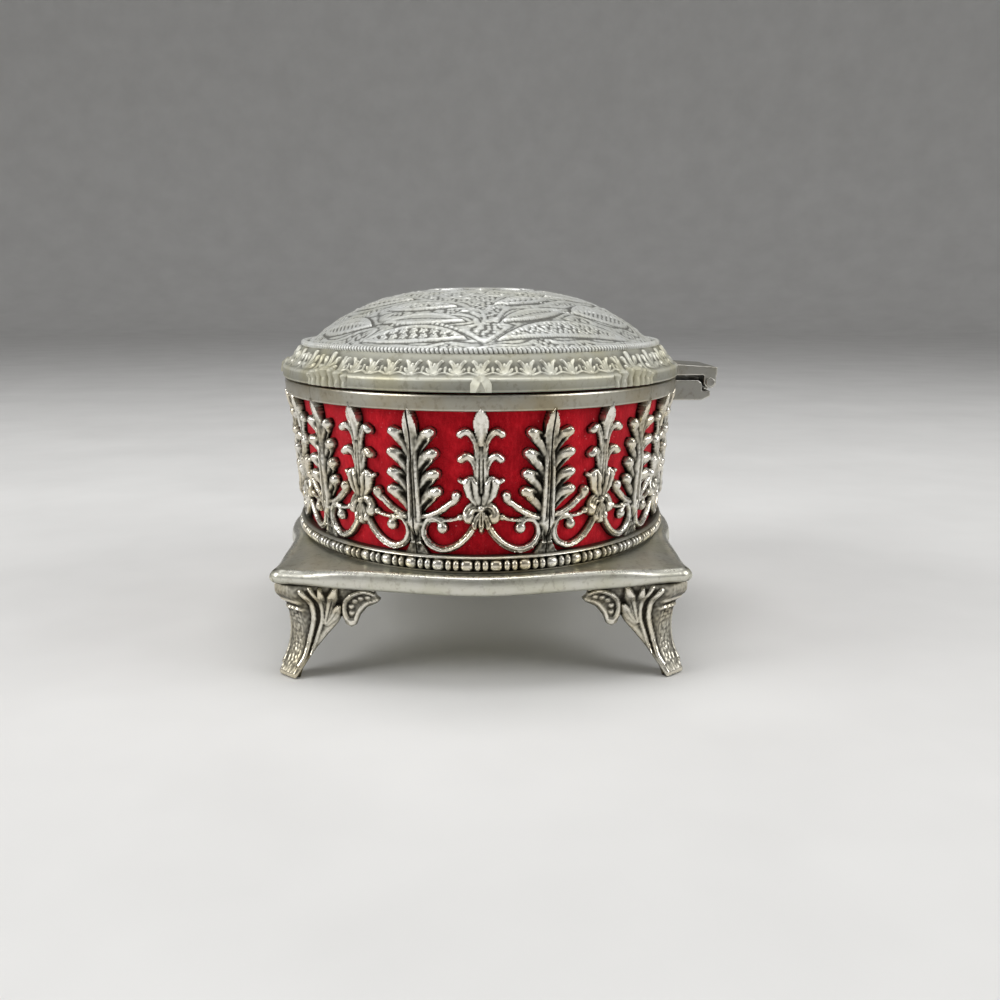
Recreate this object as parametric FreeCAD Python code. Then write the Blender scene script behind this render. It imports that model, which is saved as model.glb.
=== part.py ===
import FreeCAD, Part
import math
import os

from FreeCAD import Placement, Rotation, Vector

# Footed oval casket of cast white metal, in millimetres. Origin: the oval's axis at floor level.
# +Z up, +X along the oval, the front faces -Y and the hinge is at +Y.

# Oval body, measured at the outer top edge of its rim
RIM_HALF_LENGTH = 61.6
RIM_HALF_WIDTH = 45.0
RIM_TOP = 57.6
RIM_HEIGHT = 3.1
RIM_THICKNESS = 2.0
RIM_EDGE = 0.4
WALL_TAPER = 2.9
PANEL_GAP = 0.1

# Openwork gallery
GALLERY_RECESS = 0.9
GALLERY_THICKNESS = 1.3
MOTIFS_PER_QUARTER = 6
SEAM_MOTIF = 3
BEAD_HEIGHT = 3.3
BEAD_WIDTH = 2.2
BEAD_ROUND = 0.7
PANEL_PIN_RADIUS = 0.9
PANEL_PIN_MOTIFS = 2
PANEL_PIN_TAIL = 0.5
PIN_CLEARANCE = 0.05

# Pitch and clear height for which the ornament is drawn: x along the wall from the motif's middle,
# y up from the bead ring
DRAWN_PITCH = 13.5
DRAWN_HEIGHT = 27.6

# Fleuron of the ornament: spear (tip, widest, half width, base), stem (half width, bottom, top),
# curled leaves, bell, drops and knobs (x, y, radius), bands (three points and a width)
FLEURON_SPEAR = (28.8, 25.4, 1.4, 22.0)
FLEURON_STEM = (0.95, 12.5, 23.5)
FLEURON_LEAVES = [
    [(0.5, 21.8), (2.6, 24.3), (4.75, 23.2), (2.7, 22.3), (0.5, 19.4)],
    [(0.5, 17.8), (2.9, 19.7), (4.6, 18.0), (2.6, 17.3), (0.5, 14.2)],
]
FLEURON_BELL = [(0, 13.2), (2.2, 15.2), (4.3, 14.6)]
FLEURON_BELLY = [(4.3, 14.6), (2.8, 12.4), (1.2, 9.0)]
FLEURON_DROPS = [(0, 6.2, 1.7), (0, 4.6, 0.8)]
FLEURON_KNOBS = [(2.0, 8.2, 1.5), (8.3, 4.5, 1.0)]
FLEURON_BANDS = [
    ([(0.9, 5.4), (4.0, 2.1), (7.9, 0.75)], 1.3),
    ([(7.9, 0.75), (11.2, 2.2), (12.4, 5.0)], 1.3),
    ([(12.4, 5.0), (11.7, 6.6), (10.2, 7.2)], 1.1),
    ([(10.2, 7.2), (8.6, 6.4), (8.3, 4.7)], 0.9),
    ([(2.4, 8.0), (5.4, 6.7), (9.0, 6.9)], 0.9),
]

# Palmette of the ornament, with four pairs of leaves
PALMETTE_SPEAR = (29.0, 25.0, 1.5, 18.0)
PALMETTE_STEM = (1.1, 5.5, 20.5)
PALMETTE_TIPS = [(4.6, 24.2), (5.3, 20.0), (5.7, 16.0), (5.6, 12.4)]
PALMETTE_ROOTS = [16.8, 12.8, 9.2, 6.6]
PALMETTE_ROOT_WIDTH = 2.8
PALMETTE_LEAF_CROWN = 0.7
PALMETTE_LEAF_SAG = 0.2
PALMETTE_BANDS = [([(0.7, 6.9), (4.6, 8.2), (8.2, 10.8)], 1.2)]
PALMETTE_KNOBS = [(8.4, 11.2, 0.9)]
PALMETTE_FOOT = [(1.4, 7.2), (0.8, 4.2), (2.6, -0.8)]

# Base plate
FOOT_HEIGHT = 19.4
PLATE_THICKNESS = 4.1
PLATE_FLOOR = 2.0
PLATE_LIP = 2.4
PLATE_EDGE_ROUND = 1.3
PLATE_END_TANGENT = math.radians(12)
PLATE_SIDE_TANGENT = math.radians(21)
PLATE_SIDE_HOLLOW = 0.7
EAR_SETBACK_X = 9.7
EAR_SETBACK_Y = 3.2
EAR_RADIUS = 2.7
EAR_ANGLES = [math.radians(a) for a in (0, 30, 60, 90)]

# Feet, with curves as (inset from the ear's outer corner, share of the foot's height)
FOOT_CURVE = [(0.2, 1.0), (0.4, 0.88), (2.1, 0.76), (2.9, 0.5), (2.6, 0.3), (1.2, 0.1), (0.6, 0.0)]
FOOT_LEAF = [(4.9, 0.0), (6.7, 0.15), (9.0, 0.32), (13.1, 0.58), (13.4, 0.68), (15.0, 0.51), (16.9, 0.53)]
FOOT_LOBE = [(16.9, 0.53), (18.6, 0.74), (22.0, 0.81)]
FOOT_WALL = 2.4
FOOT_WING = 22.0
FOOT_CORNER_PANEL = 3.4
FOOT_FLANGE = 2.0
FOOT_FLANGE_SIDE = 12.0
SCREW_SETBACK = 8.0
SCREW_RADIUS = 1.1
SCREW_GRIP = 2.9
SCREW_HEAD_RADIUS = 2.0
SCREW_HEAD_HEIGHT = 1.2
SCREW_CLEARANCE = 0.05
SCREW_TIP_ROOM = 0.2

# Velvet, cards and pads; the pads' rounding as (inset, share of the pad's height)
VELVET = 0.6
WALL_CARD = 1.2
LINING_GAP = 0.1
LINING_DROP = 0.2
FLOOR_CARD = 1.5
FLOOR_PAD_HEIGHT = 4.0
FLOOR_PAD_GAP = 0.3
PAD_ROUNDS = [
    (0.9, 0.0),
    (0.2, 0.18),
    (0.0, 0.36),
    (0.7, 0.56),
    (3.0, 0.74),
    (9.0, 0.88),
    (20.0, 0.97),
    (32.0, 1.0),
]

# Lid; the bends of its cove and rope ring as shares of their width and rise
LID_GAP = 0.4
LID_OVERHANG = 0.3
LID_WALL = 1.6
LID_SHOULDER = 1.6
LID_SHOULDER_SLOPE = 1.3
LID_EDGE_HEIGHT = 2.75
LID_LEDGE = 0.9
COVE_RISE = 4.55
COVE_DEPTH = 3.4
COVE_BENDS = [(0.2, 0.15), (0.6, 0.55)]
ROPE_WIDTH = 1.2
ROPE_RISE = 0.5
ROPE_BENDS = [(-0.2, -1.0), (-0.2, 0.0), (0.15, 1.0), (0.7, 0.8)]
DOME_RISE = 12.1
DOME_POWER = 3.0
DOME_STEPS = (1.0, 0.96, 0.9, 0.82, 0.72, 0.6, 0.46, 0.3, 0.1)

# Raised ornament of the dome, in shares of its half length and half width: the leaves of one end as
# (start, end, width in mm), which the other end repeats half a turn round, and the flower in the middle
RELIEF_RISE = 0.6
DOME_LEAVES = [
    ((0.81, 0.10), (0.60, 0.425), 4.2),
    ((0.58, 0.47), (0.31, 0.81), 8.0),
    ((0.935, 0.075), (0.59, 0.77), 5.4),
    ((0.925, -0.065), (0.75, -0.595), 5.6),
    ((0.81, -0.075), (0.67, -0.495), 4.4),
    ((0.65, -0.555), (0.365, -0.85), 5.5),
    ((0.67, -0.115), (0.545, -0.48), 4.2),
    ((0.465, -0.355), (0.25, -0.695), 5.2),
    ((0.65, 0.065), (0.47, 0.355), 4.4),
    ((0.40, 0.34), (0.18, 0.645), 5.0),
]
PETALS = 8
PETAL_START = 0.14
PETAL_END = 0.32
PETAL_WIDTH = 5.5
FLOWER_MIDDLE = 0.11
LID_CARD = 1.2
LID_CARD_LIFT = 1.0
LID_CARD_GAP = 0.1
LID_PAD_CROWN = 1.7
LID_PAD_MARGIN = 0.4

# Bosses cast on the lid's edge; straight part and face as shares of the reach and of the width
END_BOSS_WIDTH = 4.2
END_BOSS_HEIGHT = 3.2
END_BOSS_REACH = 1.9
END_BOSS_FACE = 0.5
THUMB_BOSS_WIDTH = 8.0
THUMB_BOSS_HEIGHT = 3.6
THUMB_BOSS_REACH = 1.6
THUMB_BOSS_FACE = 0.6
BOSS_STRAIGHT = 0.4
FLUTE_RADIUS = 1.1
FLUTE_SPACING = 1.9
FLUTE_ANGLE = math.radians(42)

# Hinge
HINGE_REACH = 7.2
HINGE_DROP = 1.4
KNUCKLE_RADIUS = 1.4
HINGE_PIN_RADIUS = 0.7
HINGE_PIN_HEAD_RADIUS = 1.0
HINGE_PIN_HEAD = 0.5
HINGE_RUNNING_CLEARANCE = 0.05
HINGE_FIXED_CLEARANCE = 0.02
KNUCKLE_SIDE_GAP = 0.25
MIDDLE_KNUCKLE = 9.0
OUTER_KNUCKLE = 6.25
TONGUE_CLEARANCE = 0.15
TONGUE_THICKNESS = 1.85
TONGUE_TAIL = 1.6
BRACKET_KNUCKLE_GAP = 0.4
BRACKET_RISE = 0.4
BRACKET_HEIGHT = 4.5
BRACKET_LIP = 1.2
BRACKET_LIP_LIFT = 0.9
BRACKET_LIP_REACH = 0.1
BRACKET_CORNER = 0.8

# Heights and insets that follow from the sizes above
PLATE_TOP = FOOT_HEIGHT + PLATE_THICKNESS
BEAD_TOP = PLATE_TOP + BEAD_HEIGHT
RIM_BOTTOM = RIM_TOP - RIM_HEIGHT
GALLERY_INNER = GALLERY_RECESS + GALLERY_THICKNESS
VELVET_OUTER = GALLERY_INNER + LINING_GAP
CARD_OUTER = VELVET_OUTER + VELVET
CARD_INNER = CARD_OUTER + WALL_CARD
LINING_INNER = CARD_INNER + VELVET
LINING_TOP = RIM_TOP - LINING_DROP
CARD_TOP = LINING_TOP - VELVET
PLATE_HALF_LENGTH = RIM_HALF_LENGTH - WALL_TAPER + PLATE_LIP
PLATE_HALF_WIDTH = RIM_HALF_WIDTH - WALL_TAPER + PLATE_LIP
EAR_X = RIM_HALF_LENGTH - EAR_SETBACK_X
EAR_Y = RIM_HALF_WIDTH - EAR_SETBACK_Y
LID_BOTTOM = RIM_TOP + LID_GAP
LID_LEDGE_Z = LID_BOTTOM + LID_EDGE_HEIGHT
ROPE_Z = LID_LEDGE_Z + COVE_RISE
ROPE_INSET = LID_LEDGE + COVE_DEPTH
DOME_INSET = ROPE_INSET + ROPE_WIDTH
LID_INNER = LID_WALL - LID_OVERHANG
LID_CARD_Z = LID_BOTTOM + LID_CARD_LIFT
LID_SHOULDER_Z = LID_BOTTOM + LID_SHOULDER
HINGE_Y = RIM_HALF_WIDTH + HINGE_REACH
HINGE_Z = RIM_TOP - HINGE_DROP
HINGE_HALF_WIDTH = MIDDLE_KNUCKLE / 2 + KNUCKLE_SIDE_GAP + OUTER_KNUCKLE
TONGUE_UNDER = HINGE_Z + KNUCKLE_RADIUS + TONGUE_CLEARANCE
HALVES = (1, -1)


def wall_inset(z):
    """How far the leaning wall line stands in from the rim's edge at height z."""
    return WALL_TAPER * (RIM_TOP - z) / (RIM_TOP - PLATE_TOP)


# Oval along the middle of the wall, on which the motifs are spaced evenly
CLEAR_HEIGHT = RIM_BOTTOM - BEAD_TOP
MIDDLE_INSET = wall_inset((BEAD_TOP + RIM_BOTTOM) / 2) + GALLERY_RECESS
MIDDLE_HALF_LENGTH = RIM_HALF_LENGTH - MIDDLE_INSET
MIDDLE_HALF_WIDTH = RIM_HALF_WIDTH - MIDDLE_INSET
MIDDLE_OVAL = Part.Ellipse(Vector(0, 0, BEAD_TOP), MIDDLE_HALF_LENGTH, MIDDLE_HALF_WIDTH).toShape()
MOTIF_PITCH = MIDDLE_OVAL.Length / (4 * MOTIFS_PER_QUARTER)
MOTIF_DEPTH = WALL_TAPER + 2 * GALLERY_THICKNESS + MOTIF_PITCH / 2
SEAM_ANGLE = MIDDLE_OVAL.getParameterByLength(SEAM_MOTIF * MOTIF_PITCH)


# Helpers for ovals and prisms

def oval(half_length, half_width, z):
    """Closed oval of four arcs that meet at the panel seams."""
    ellipse = Part.Ellipse(Vector(0, 0, z), half_length, half_width)
    stops = [SEAM_ANGLE, math.pi - SEAM_ANGLE, math.pi + SEAM_ANGLE]
    stops += [2 * math.pi - SEAM_ANGLE, 2 * math.pi + SEAM_ANGLE]
    return Part.Wire([ellipse.toShape(a, b) for a, b in zip(stops[:-1], stops[1:])])


def inset_oval(inset, z):
    return oval(RIM_HALF_LENGTH - inset, RIM_HALF_WIDTH - inset, z)


def stack(profile):
    """Closed solid through ovals given as (inset from the rim's edge, height)."""
    return Part.makeLoft([inset_oval(inset, z) for inset, z in profile], True, True)


def wall_band(outer, inner, bottom, top):
    """Band that leans with the wall, between two distances in from the wall line."""
    outside = stack([(wall_inset(z) + outer, z) for z in (bottom, top)])
    inside = stack([(wall_inset(z) + inner, z) for z in (bottom, top)])
    return outside.cut(inside)


def face_of(edges):
    return Part.Face(Part.Wire(Part.__sortEdges__(edges)))


def polygon(points):
    return Part.Face(Part.makePolygon(points + points[:1]))


def arc(start, middle, end):
    return Part.Arc(start, middle, end).toShape()


def line(start, end):
    return Part.LineSegment(start, end).toShape()


def prism_x(points, half_width):
    """Prism along X from (y, z) points."""
    face = polygon([Vector(-half_width, y, z) for y, z in points])
    return face.extrude(Vector(2 * half_width, 0, 0))


def cylinder_x(radius, start, length):
    return Part.makeCylinder(radius, length, Vector(start, HINGE_Y, HINGE_Z), Vector(1, 0, 0))


def fuse_all(shapes):
    shapes = list(shapes)
    return shapes[0].multiFuse(shapes[1:]).removeSplitter()


def mirror_x(shape):
    return shape.mirror(Vector(0, 0, 0), Vector(1, 0, 0))


def mirror_y(shape):
    return shape.mirror(Vector(0, 0, 0), Vector(0, 1, 0))


# Openwork ornament, drawn flat

def drawn(x, y):
    return Vector(x * MOTIF_PITCH / DRAWN_PITCH, y * CLEAR_HEIGHT / DRAWN_HEIGHT, 0)


def curl(points):
    """Curled leaf: an upper arc to the tip and a lower arc back to the stem."""
    base_top, crest, tip, under, base_bottom = [drawn(*p) for p in points]
    edges = [arc(base_top, crest, tip), arc(tip, under, base_bottom), line(base_bottom, base_top)]
    return face_of(edges)


def stroke(points, width):
    """Band of even width along one arc."""
    path = [drawn(*p) for p in points]
    curve = arc(*path).Curve
    rails = []
    for side in HALVES:
        growth = 1 + side * width / 2 / curve.Radius
        rails.append([curve.Center + (p - curve.Center) * growth for p in path])
    outer, inner = rails
    edges = [arc(*outer), line(outer[2], inner[2]), arc(*inner), line(inner[0], outer[0])]
    return face_of(edges)


def disc(x, y, radius):
    return Part.Face(Part.Wire(Part.makeCircle(radius, drawn(x, y))))


def spear(tip, wide, half_width, base):
    """Pointed leaf, upright on the motif's middle."""
    sides = [arc(drawn(0, base), drawn(s * half_width, wide), drawn(0, tip)) for s in HALVES]
    return face_of(sides)


def bar(half_width, bottom, top):
    corners = [(-half_width, bottom), (half_width, bottom), (half_width, top), (-half_width, top)]
    return polygon([drawn(*c) for c in corners])


def flip(points):
    return [(-x, y) for x, y in points]


def both_sides(shape_of, points, *rest):
    return [shape_of(points, *rest), shape_of(flip(points), *rest)]


def fleuron():
    faces = [spear(*FLEURON_SPEAR), bar(*FLEURON_STEM)]
    for leaf in FLEURON_LEAVES:
        faces += both_sides(curl, leaf)
    bell_sides = (FLEURON_BELL, flip(FLEURON_BELL), FLEURON_BELLY, flip(FLEURON_BELLY))
    bell = [arc(*[drawn(*p) for p in side]) for side in bell_sides]
    belly_end = FLEURON_BELLY[-1]
    bell.append(line(drawn(-belly_end[0], belly_end[1]), drawn(*belly_end)))
    faces.append(face_of(bell))
    faces += [disc(*knob) for knob in FLEURON_DROPS]
    for x, y, radius in FLEURON_KNOBS:
        faces += [disc(side * x, y, radius) for side in HALVES]
    for points, width in FLEURON_BANDS:
        faces += both_sides(stroke, points, width)
    return motif_solid(faces)


def palmette():
    faces = [spear(*PALMETTE_SPEAR), bar(*PALMETTE_STEM)]
    for (tip_x, tip_y), root in zip(PALMETTE_TIPS, PALMETTE_ROOTS):
        upper_root = root + PALMETTE_ROOT_WIDTH
        crest = (tip_x / 2, (tip_y + upper_root) / 2 + PALMETTE_LEAF_CROWN)
        under = (tip_x / 2, (tip_y + root) / 2 - PALMETTE_LEAF_SAG)
        stem_x = PALMETTE_STEM[0] / 2
        faces += both_sides(curl, [(stem_x, upper_root), crest, (tip_x, tip_y), under, (stem_x, root)])
    for points, width in PALMETTE_BANDS:
        faces += both_sides(stroke, points, width)
    for x, y, radius in PALMETTE_KNOBS:
        faces += [disc(side * x, y, radius) for side in HALVES]
    foot = flip(PALMETTE_FOOT) + PALMETTE_FOOT[::-1]
    faces.append(polygon([drawn(*p) for p in foot]))
    return motif_solid(faces)


# Places along the wall

def wall_place(motif):
    """Point on the wall's oval and outward direction at a motif, counted from the +X end."""
    count = 4 * MOTIFS_PER_QUARTER
    angle = MIDDLE_OVAL.getParameterByLength((motif % count) * MOTIF_PITCH)
    point = MIDDLE_OVAL.valueAt(angle)
    outward = Vector(math.cos(angle) / MIDDLE_HALF_LENGTH, math.sin(angle) / MIDDLE_HALF_WIDTH, 0)
    return point, outward.normalize()


def motif_solid(faces):
    """Upright solid of a flat drawing, as deep as the wall leans."""
    return fuse_all([face.extrude(Vector(0, 0, MOTIF_DEPTH)) for face in faces])


def placed_motif(solid, motif):
    """Drawing set upright across the wall at one motif's place."""
    point, outward = wall_place(motif)
    along = Vector(0, 0, 1).cross(outward)
    placed = solid.copy()
    start = point - outward * (MOTIF_DEPTH / 2)
    placed.Placement = Placement(start, Rotation(along, Vector(0, 0, 1), outward, "XYZ"))
    return placed


def seam_point(motif, reach):
    point, outward = wall_place(motif)
    return point + outward * reach


def panel_wedge(first, last):
    """Upright block that holds one panel, from seam to seam."""
    reach = RIM_HALF_WIDTH / 4
    far = RIM_HALF_LENGTH + RIM_HALF_WIDTH
    middle = wall_place((first + last) / 2)[1]
    corners = [seam_point(first, -reach), seam_point(first, reach)]
    corners += [seam_point(first, reach) + middle * far, seam_point(last, reach) + middle * far]
    corners += [seam_point(last, reach), seam_point(last, -reach)]
    corners = [Vector(c.x, c.y, 0) for c in corners]
    return polygon(corners).extrude(Vector(0, 0, RIM_TOP + RIM_HEIGHT))


def panel_pin_places():
    """Points under the bead ring where the panels' cast pins go through the plate."""
    reach = MIDDLE_INSET - WALL_TAPER - BEAD_WIDTH / 2
    offsets = (-PANEL_PIN_MOTIFS, PANEL_PIN_MOTIFS)
    places = {}
    for turn in range(4):
        places[turn] = [seam_point(turn * MOTIFS_PER_QUARTER + k, reach) for k in offsets]
    return places


def gallery_panels():
    """Four panels in order: right end, back, left end, front."""
    rim = stack([(wall_inset(RIM_BOTTOM) + PANEL_GAP, RIM_BOTTOM), (0, RIM_TOP - RIM_EDGE), (0, RIM_TOP)])
    rim_hole = stack([(wall_inset(z) + RIM_THICKNESS, z) for z in (RIM_BOTTOM, RIM_TOP)])
    bead = stack([
        (WALL_TAPER + BEAD_ROUND, PLATE_TOP),
        (WALL_TAPER, PLATE_TOP + BEAD_ROUND),
        (WALL_TAPER, BEAD_TOP - BEAD_ROUND),
        (WALL_TAPER + BEAD_ROUND, BEAD_TOP),
    ])
    bead_hole = stack([(wall_inset(z) + BEAD_WIDTH, z) for z in (PLATE_TOP, BEAD_TOP)])
    wall = wall_band(GALLERY_RECESS, GALLERY_INNER, PLATE_TOP + BEAD_ROUND, RIM_TOP - RIM_EDGE)
    rings = [rim.cut(rim_hole), bead.cut(bead_hole)]
    drawings = [fleuron(), palmette()]
    gap = PANEL_GAP / 2 / MOTIF_PITCH
    pins = panel_pin_places()
    panels = []
    for turn in range(2):
        middle = turn * MOTIFS_PER_QUARTER
        numbers = range(middle - SEAM_MOTIF, middle + SEAM_MOTIF + 1)
        motifs = fuse_all([placed_motif(drawings[k % 2], k) for k in numbers])
        wedge = panel_wedge(middle - SEAM_MOTIF + gap, middle + SEAM_MOTIF - gap)
        panel = fuse_all(rings + [wall.common(motifs)]).common(wedge)
        tail = PLATE_FLOOR + PANEL_PIN_TAIL
        for place in pins[turn]:
            foot = Vector(place.x, place.y, PLATE_TOP - tail)
            panel = panel.fuse(Part.makeCylinder(PANEL_PIN_RADIUS, tail + BEAD_ROUND, foot))
        panels.append(panel.removeSplitter())
    end, back = panels
    return [end, back, mirror_x(end), mirror_y(back)]


# Base plate

def plate_outline():
    """Closed curve: oval middle stretches that run out into four rounded ears."""
    ellipse = Part.Ellipse(Vector(0, 0, FOOT_HEIGHT), PLATE_HALF_LENGTH, PLATE_HALF_WIDTH)
    end_point = ellipse.value(PLATE_END_TANGENT)
    side_point = ellipse.value(math.pi / 2 - PLATE_SIDE_TANGENT)
    centre = Vector(EAR_X - EAR_RADIUS, EAR_Y - EAR_RADIUS, FOOT_HEIGHT)
    nose = [centre + Vector(math.cos(a), math.sin(a), 0) * EAR_RADIUS for a in EAR_ANGLES]
    straight = (end_point * 2 + nose[0]) / 3, (end_point + nose[0] * 2) / 3
    hollow = (nose[-1] + side_point) / 2 - Vector(0, PLATE_SIDE_HOLLOW, 0)
    side_middle = ellipse.value(math.pi / 2 - PLATE_SIDE_TANGENT / 2)
    corner = [end_point, *straight, *nose, hollow, side_point, side_middle]
    back_left = [Vector(-p.x, p.y, p.z) for p in reversed(corner)]
    front_left = [Vector(-p.x, -p.y, p.z) for p in corner]
    front_right = [Vector(p.x, -p.y, p.z) for p in reversed(corner)]
    points = [ellipse.value(0)] + corner + [ellipse.value(math.pi / 2)] + back_left
    points += [ellipse.value(math.pi)] + front_left + [ellipse.value(math.pi * 3 / 2)] + front_right
    curve = Part.BSplineCurve()
    curve.interpolate(points, PeriodicFlag=True)
    return Part.Face(Part.Wire(curve.toShape()))


def base_plate():
    plate = plate_outline().extrude(Vector(0, 0, PLATE_THICKNESS))
    rims = [e for e in plate.Edges if abs(e.BoundBox.ZMax - e.BoundBox.ZMin) < PLATE_EDGE_ROUND / 2]
    plate = plate.makeFillet(PLATE_EDGE_ROUND, rims)
    pocket = stack([(WALL_TAPER, FOOT_HEIGHT), (WALL_TAPER, PLATE_TOP - PLATE_FLOOR)])
    plate = plate.cut(pocket)
    for places in panel_pin_places().values():
        for place in places:
            radius = PANEL_PIN_RADIUS + PIN_CLEARANCE
            foot = Vector(place.x, place.y, FOOT_HEIGHT)
            plate = plate.cut(Part.makeCylinder(radius, PLATE_THICKNESS, foot))
    for x, y in screw_places():
        depth = SCREW_GRIP + SCREW_TIP_ROOM
        hole = Part.makeCylinder(SCREW_RADIUS + SCREW_CLEARANCE, depth, Vector(x, y, FOOT_HEIGHT))
        plate = plate.cut(hole)
    return plate


# Feet, each drawn for the corner at +X +Y with the ear's outer corner as its own origin

def foot_spline(points):
    curve = Part.BSplineCurve()
    curve.interpolate(points)
    return curve.toShape()


def foot_slab(scale, shift, depth):
    """Upright block whose outer face follows the foot's S curve, facing +Y, depth going inwards."""
    outer = [Vector(0, -(inset * scale + shift), share * FOOT_HEIGHT) for inset, share in FOOT_CURVE]
    inner = [p - Vector(0, depth, 0) for p in outer]
    edges = [foot_spline(outer), line(outer[-1], inner[-1]), foot_spline(inner), line(inner[0], outer[0])]
    return face_of(edges)


def wing_outline():
    """Side view of one wing, seen along Y: S curve outside, leaf and scroll lobe inside."""
    outer = [Vector(-inset, 0, share * FOOT_HEIGHT) for inset, share in FOOT_CURVE]
    lower = [Vector(-inset, 0, share * FOOT_HEIGHT) for inset, share in FOOT_LEAF]
    lobe = [Vector(-inset, 0, share * FOOT_HEIGHT) for inset, share in FOOT_LOBE]
    top = Vector(-FOOT_WING, 0, FOOT_HEIGHT)
    edges = [foot_spline(outer), line(outer[-1], lower[0])]
    edges += [line(a, b) for a, b in zip(lower[:-1], lower[1:])]
    edges += [arc(*lobe), line(lobe[-1], top), line(top, outer[0])]
    return face_of(edges)


def foot():
    span = FOOT_WING * 2
    slab = foot_slab(1, 0, FOOT_WALL).extrude(Vector(-span, 0, 0))
    outline = wing_outline().extrude(Vector(0, -span, 0))
    wing = slab.common(outline)
    other_wing = wing.mirror(Vector(0, 0, 0), Vector(1, -1, 0))
    flange_inset = FOOT_CURVE[2][0]
    flange_corner = Vector(-FOOT_FLANGE_SIDE, -FOOT_FLANGE_SIDE, FOOT_HEIGHT - FOOT_FLANGE)
    side = FOOT_FLANGE_SIDE - flange_inset
    flange = Part.makeBox(side, side, FOOT_FLANGE, flange_corner)
    diagonal = math.sqrt(2)
    core = foot_slab(diagonal, FOOT_CORNER_PANEL / diagonal, span).extrude(Vector(-2 * span, 0, 0))
    core.translate(Vector(span, 0, 0))
    core.rotate(Vector(0, 0, 0), Vector(0, 0, 1), -45)
    leg = fuse_all([wing, other_wing, flange]).common(core)
    hole_foot = Vector(-SCREW_SETBACK, -SCREW_SETBACK, 0)
    hole = Part.makeCylinder(SCREW_RADIUS + SCREW_CLEARANCE, FOOT_HEIGHT, hole_foot)
    return leg.cut(hole).removeSplitter()


def screw_places():
    x = EAR_X - SCREW_SETBACK
    y = EAR_Y - SCREW_SETBACK
    return [(sx * x, sy * y) for sx in HALVES for sy in HALVES]


def feet():
    corner = foot()
    corner.translate(Vector(EAR_X, EAR_Y, 0))
    return {
        "foot_back_right": corner,
        "foot_back_left": mirror_x(corner),
        "foot_front_right": mirror_y(corner),
        "foot_front_left": mirror_x(mirror_y(corner)),
    }


def foot_screws():
    seat = FOOT_HEIGHT - FOOT_FLANGE
    screws = []
    for x, y in screw_places():
        head_foot = Vector(x, y, seat - SCREW_HEAD_HEIGHT)
        head = Part.makeCylinder(SCREW_HEAD_RADIUS, SCREW_HEAD_HEIGHT, head_foot)
        shank = Part.makeCylinder(SCREW_RADIUS, FOOT_FLANGE + SCREW_GRIP, Vector(x, y, seat))
        screws.append(head.fuse(shank).removeSplitter())
    return Part.makeCompound(screws)


# Velvet, cards and pads

def inner_velvet():
    """Lining on the card's inner face, turned over the card's top edge."""
    lining = wall_band(CARD_INNER, LINING_INNER, PLATE_TOP, LINING_TOP)
    turnover = wall_band(VELVET_OUTER, CARD_INNER + VELVET / 2, CARD_TOP, LINING_TOP)
    return lining.fuse(turnover).removeSplitter()


def floor_card():
    inset = wall_inset(PLATE_TOP) + LINING_INNER + LINING_GAP
    return stack([(inset, PLATE_TOP), (inset, PLATE_TOP + FLOOR_CARD)])


def crowned_pad(inset, z, height):
    """Oval pad with drawn-in sides and a crown, standing up from z or hanging down from it."""
    sections = [inset_oval(inset + step, z + share * height) for step, share in PAD_ROUNDS]
    return Part.makeLoft(sections, True, True)


def floor_pad():
    base = PLATE_TOP + FLOOR_CARD
    inset = wall_inset(base) + LINING_INNER + FLOOR_PAD_GAP
    return crowned_pad(inset, base, FLOOR_PAD_HEIGHT)


def lid_lining_card():
    """Card whose bevelled edge seats in the lid's sloping shoulder."""
    inset = LID_INNER + LID_CARD_GAP
    top = LID_CARD_Z + LID_CARD
    bevel = top - LID_SHOULDER_Z
    return stack([(inset, LID_CARD_Z), (inset, LID_SHOULDER_Z), (inset + bevel * LID_SHOULDER_SLOPE, top)])


def lid_lining_pad():
    inset = LID_INNER + LID_CARD_GAP + LID_PAD_MARGIN
    return crowned_pad(inset, LID_CARD_Z, -LID_PAD_CROWN)


# Lid

def dome_ovals(shrink, drop):
    half_length = RIM_HALF_LENGTH - DOME_INSET - shrink
    half_width = RIM_HALF_WIDTH - DOME_INSET - shrink
    ovals = []
    for share in DOME_STEPS:
        z = ROPE_Z + DOME_RISE * (1 - share ** DOME_POWER) - drop
        ovals.append(oval(half_length * share, half_width * share, z))
    return ovals


def lid_outside():
    profile = [
        (-LID_OVERHANG, LID_BOTTOM),
        (-LID_OVERHANG, LID_LEDGE_Z - ROPE_RISE),
        (LID_LEDGE - ROPE_WIDTH / 2, LID_LEDGE_Z),
    ]
    profile += [(LID_LEDGE + COVE_DEPTH * a, LID_LEDGE_Z + COVE_RISE * b) for a, b in COVE_BENDS]
    profile += [(ROPE_INSET + ROPE_WIDTH * a, ROPE_Z + ROPE_RISE * b) for a, b in ROPE_BENDS]
    ovals = [inset_oval(inset, z) for inset, z in profile]
    return Part.makeLoft(ovals + dome_ovals(0, RELIEF_RISE)[1:], True, True)


def lid_inside():
    cove_z = ROPE_Z - LID_WALL
    cove_inset = LID_INNER + (cove_z - LID_SHOULDER_Z) * LID_SHOULDER_SLOPE
    profile = [(LID_INNER, LID_BOTTOM), (LID_INNER, LID_SHOULDER_Z), (cove_inset, cove_z)]
    ovals = [inset_oval(inset, z) for inset, z in profile]
    return Part.makeLoft(ovals + dome_ovals(LID_WALL, LID_WALL + RELIEF_RISE)[1:], True, True)


def on_dome(share_x, share_y):
    """Point under the dome, from shares of its half length and half width."""
    return Vector((RIM_HALF_LENGTH - DOME_INSET) * share_x, (RIM_HALF_WIDTH - DOME_INSET) * share_y, ROPE_Z)


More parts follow.
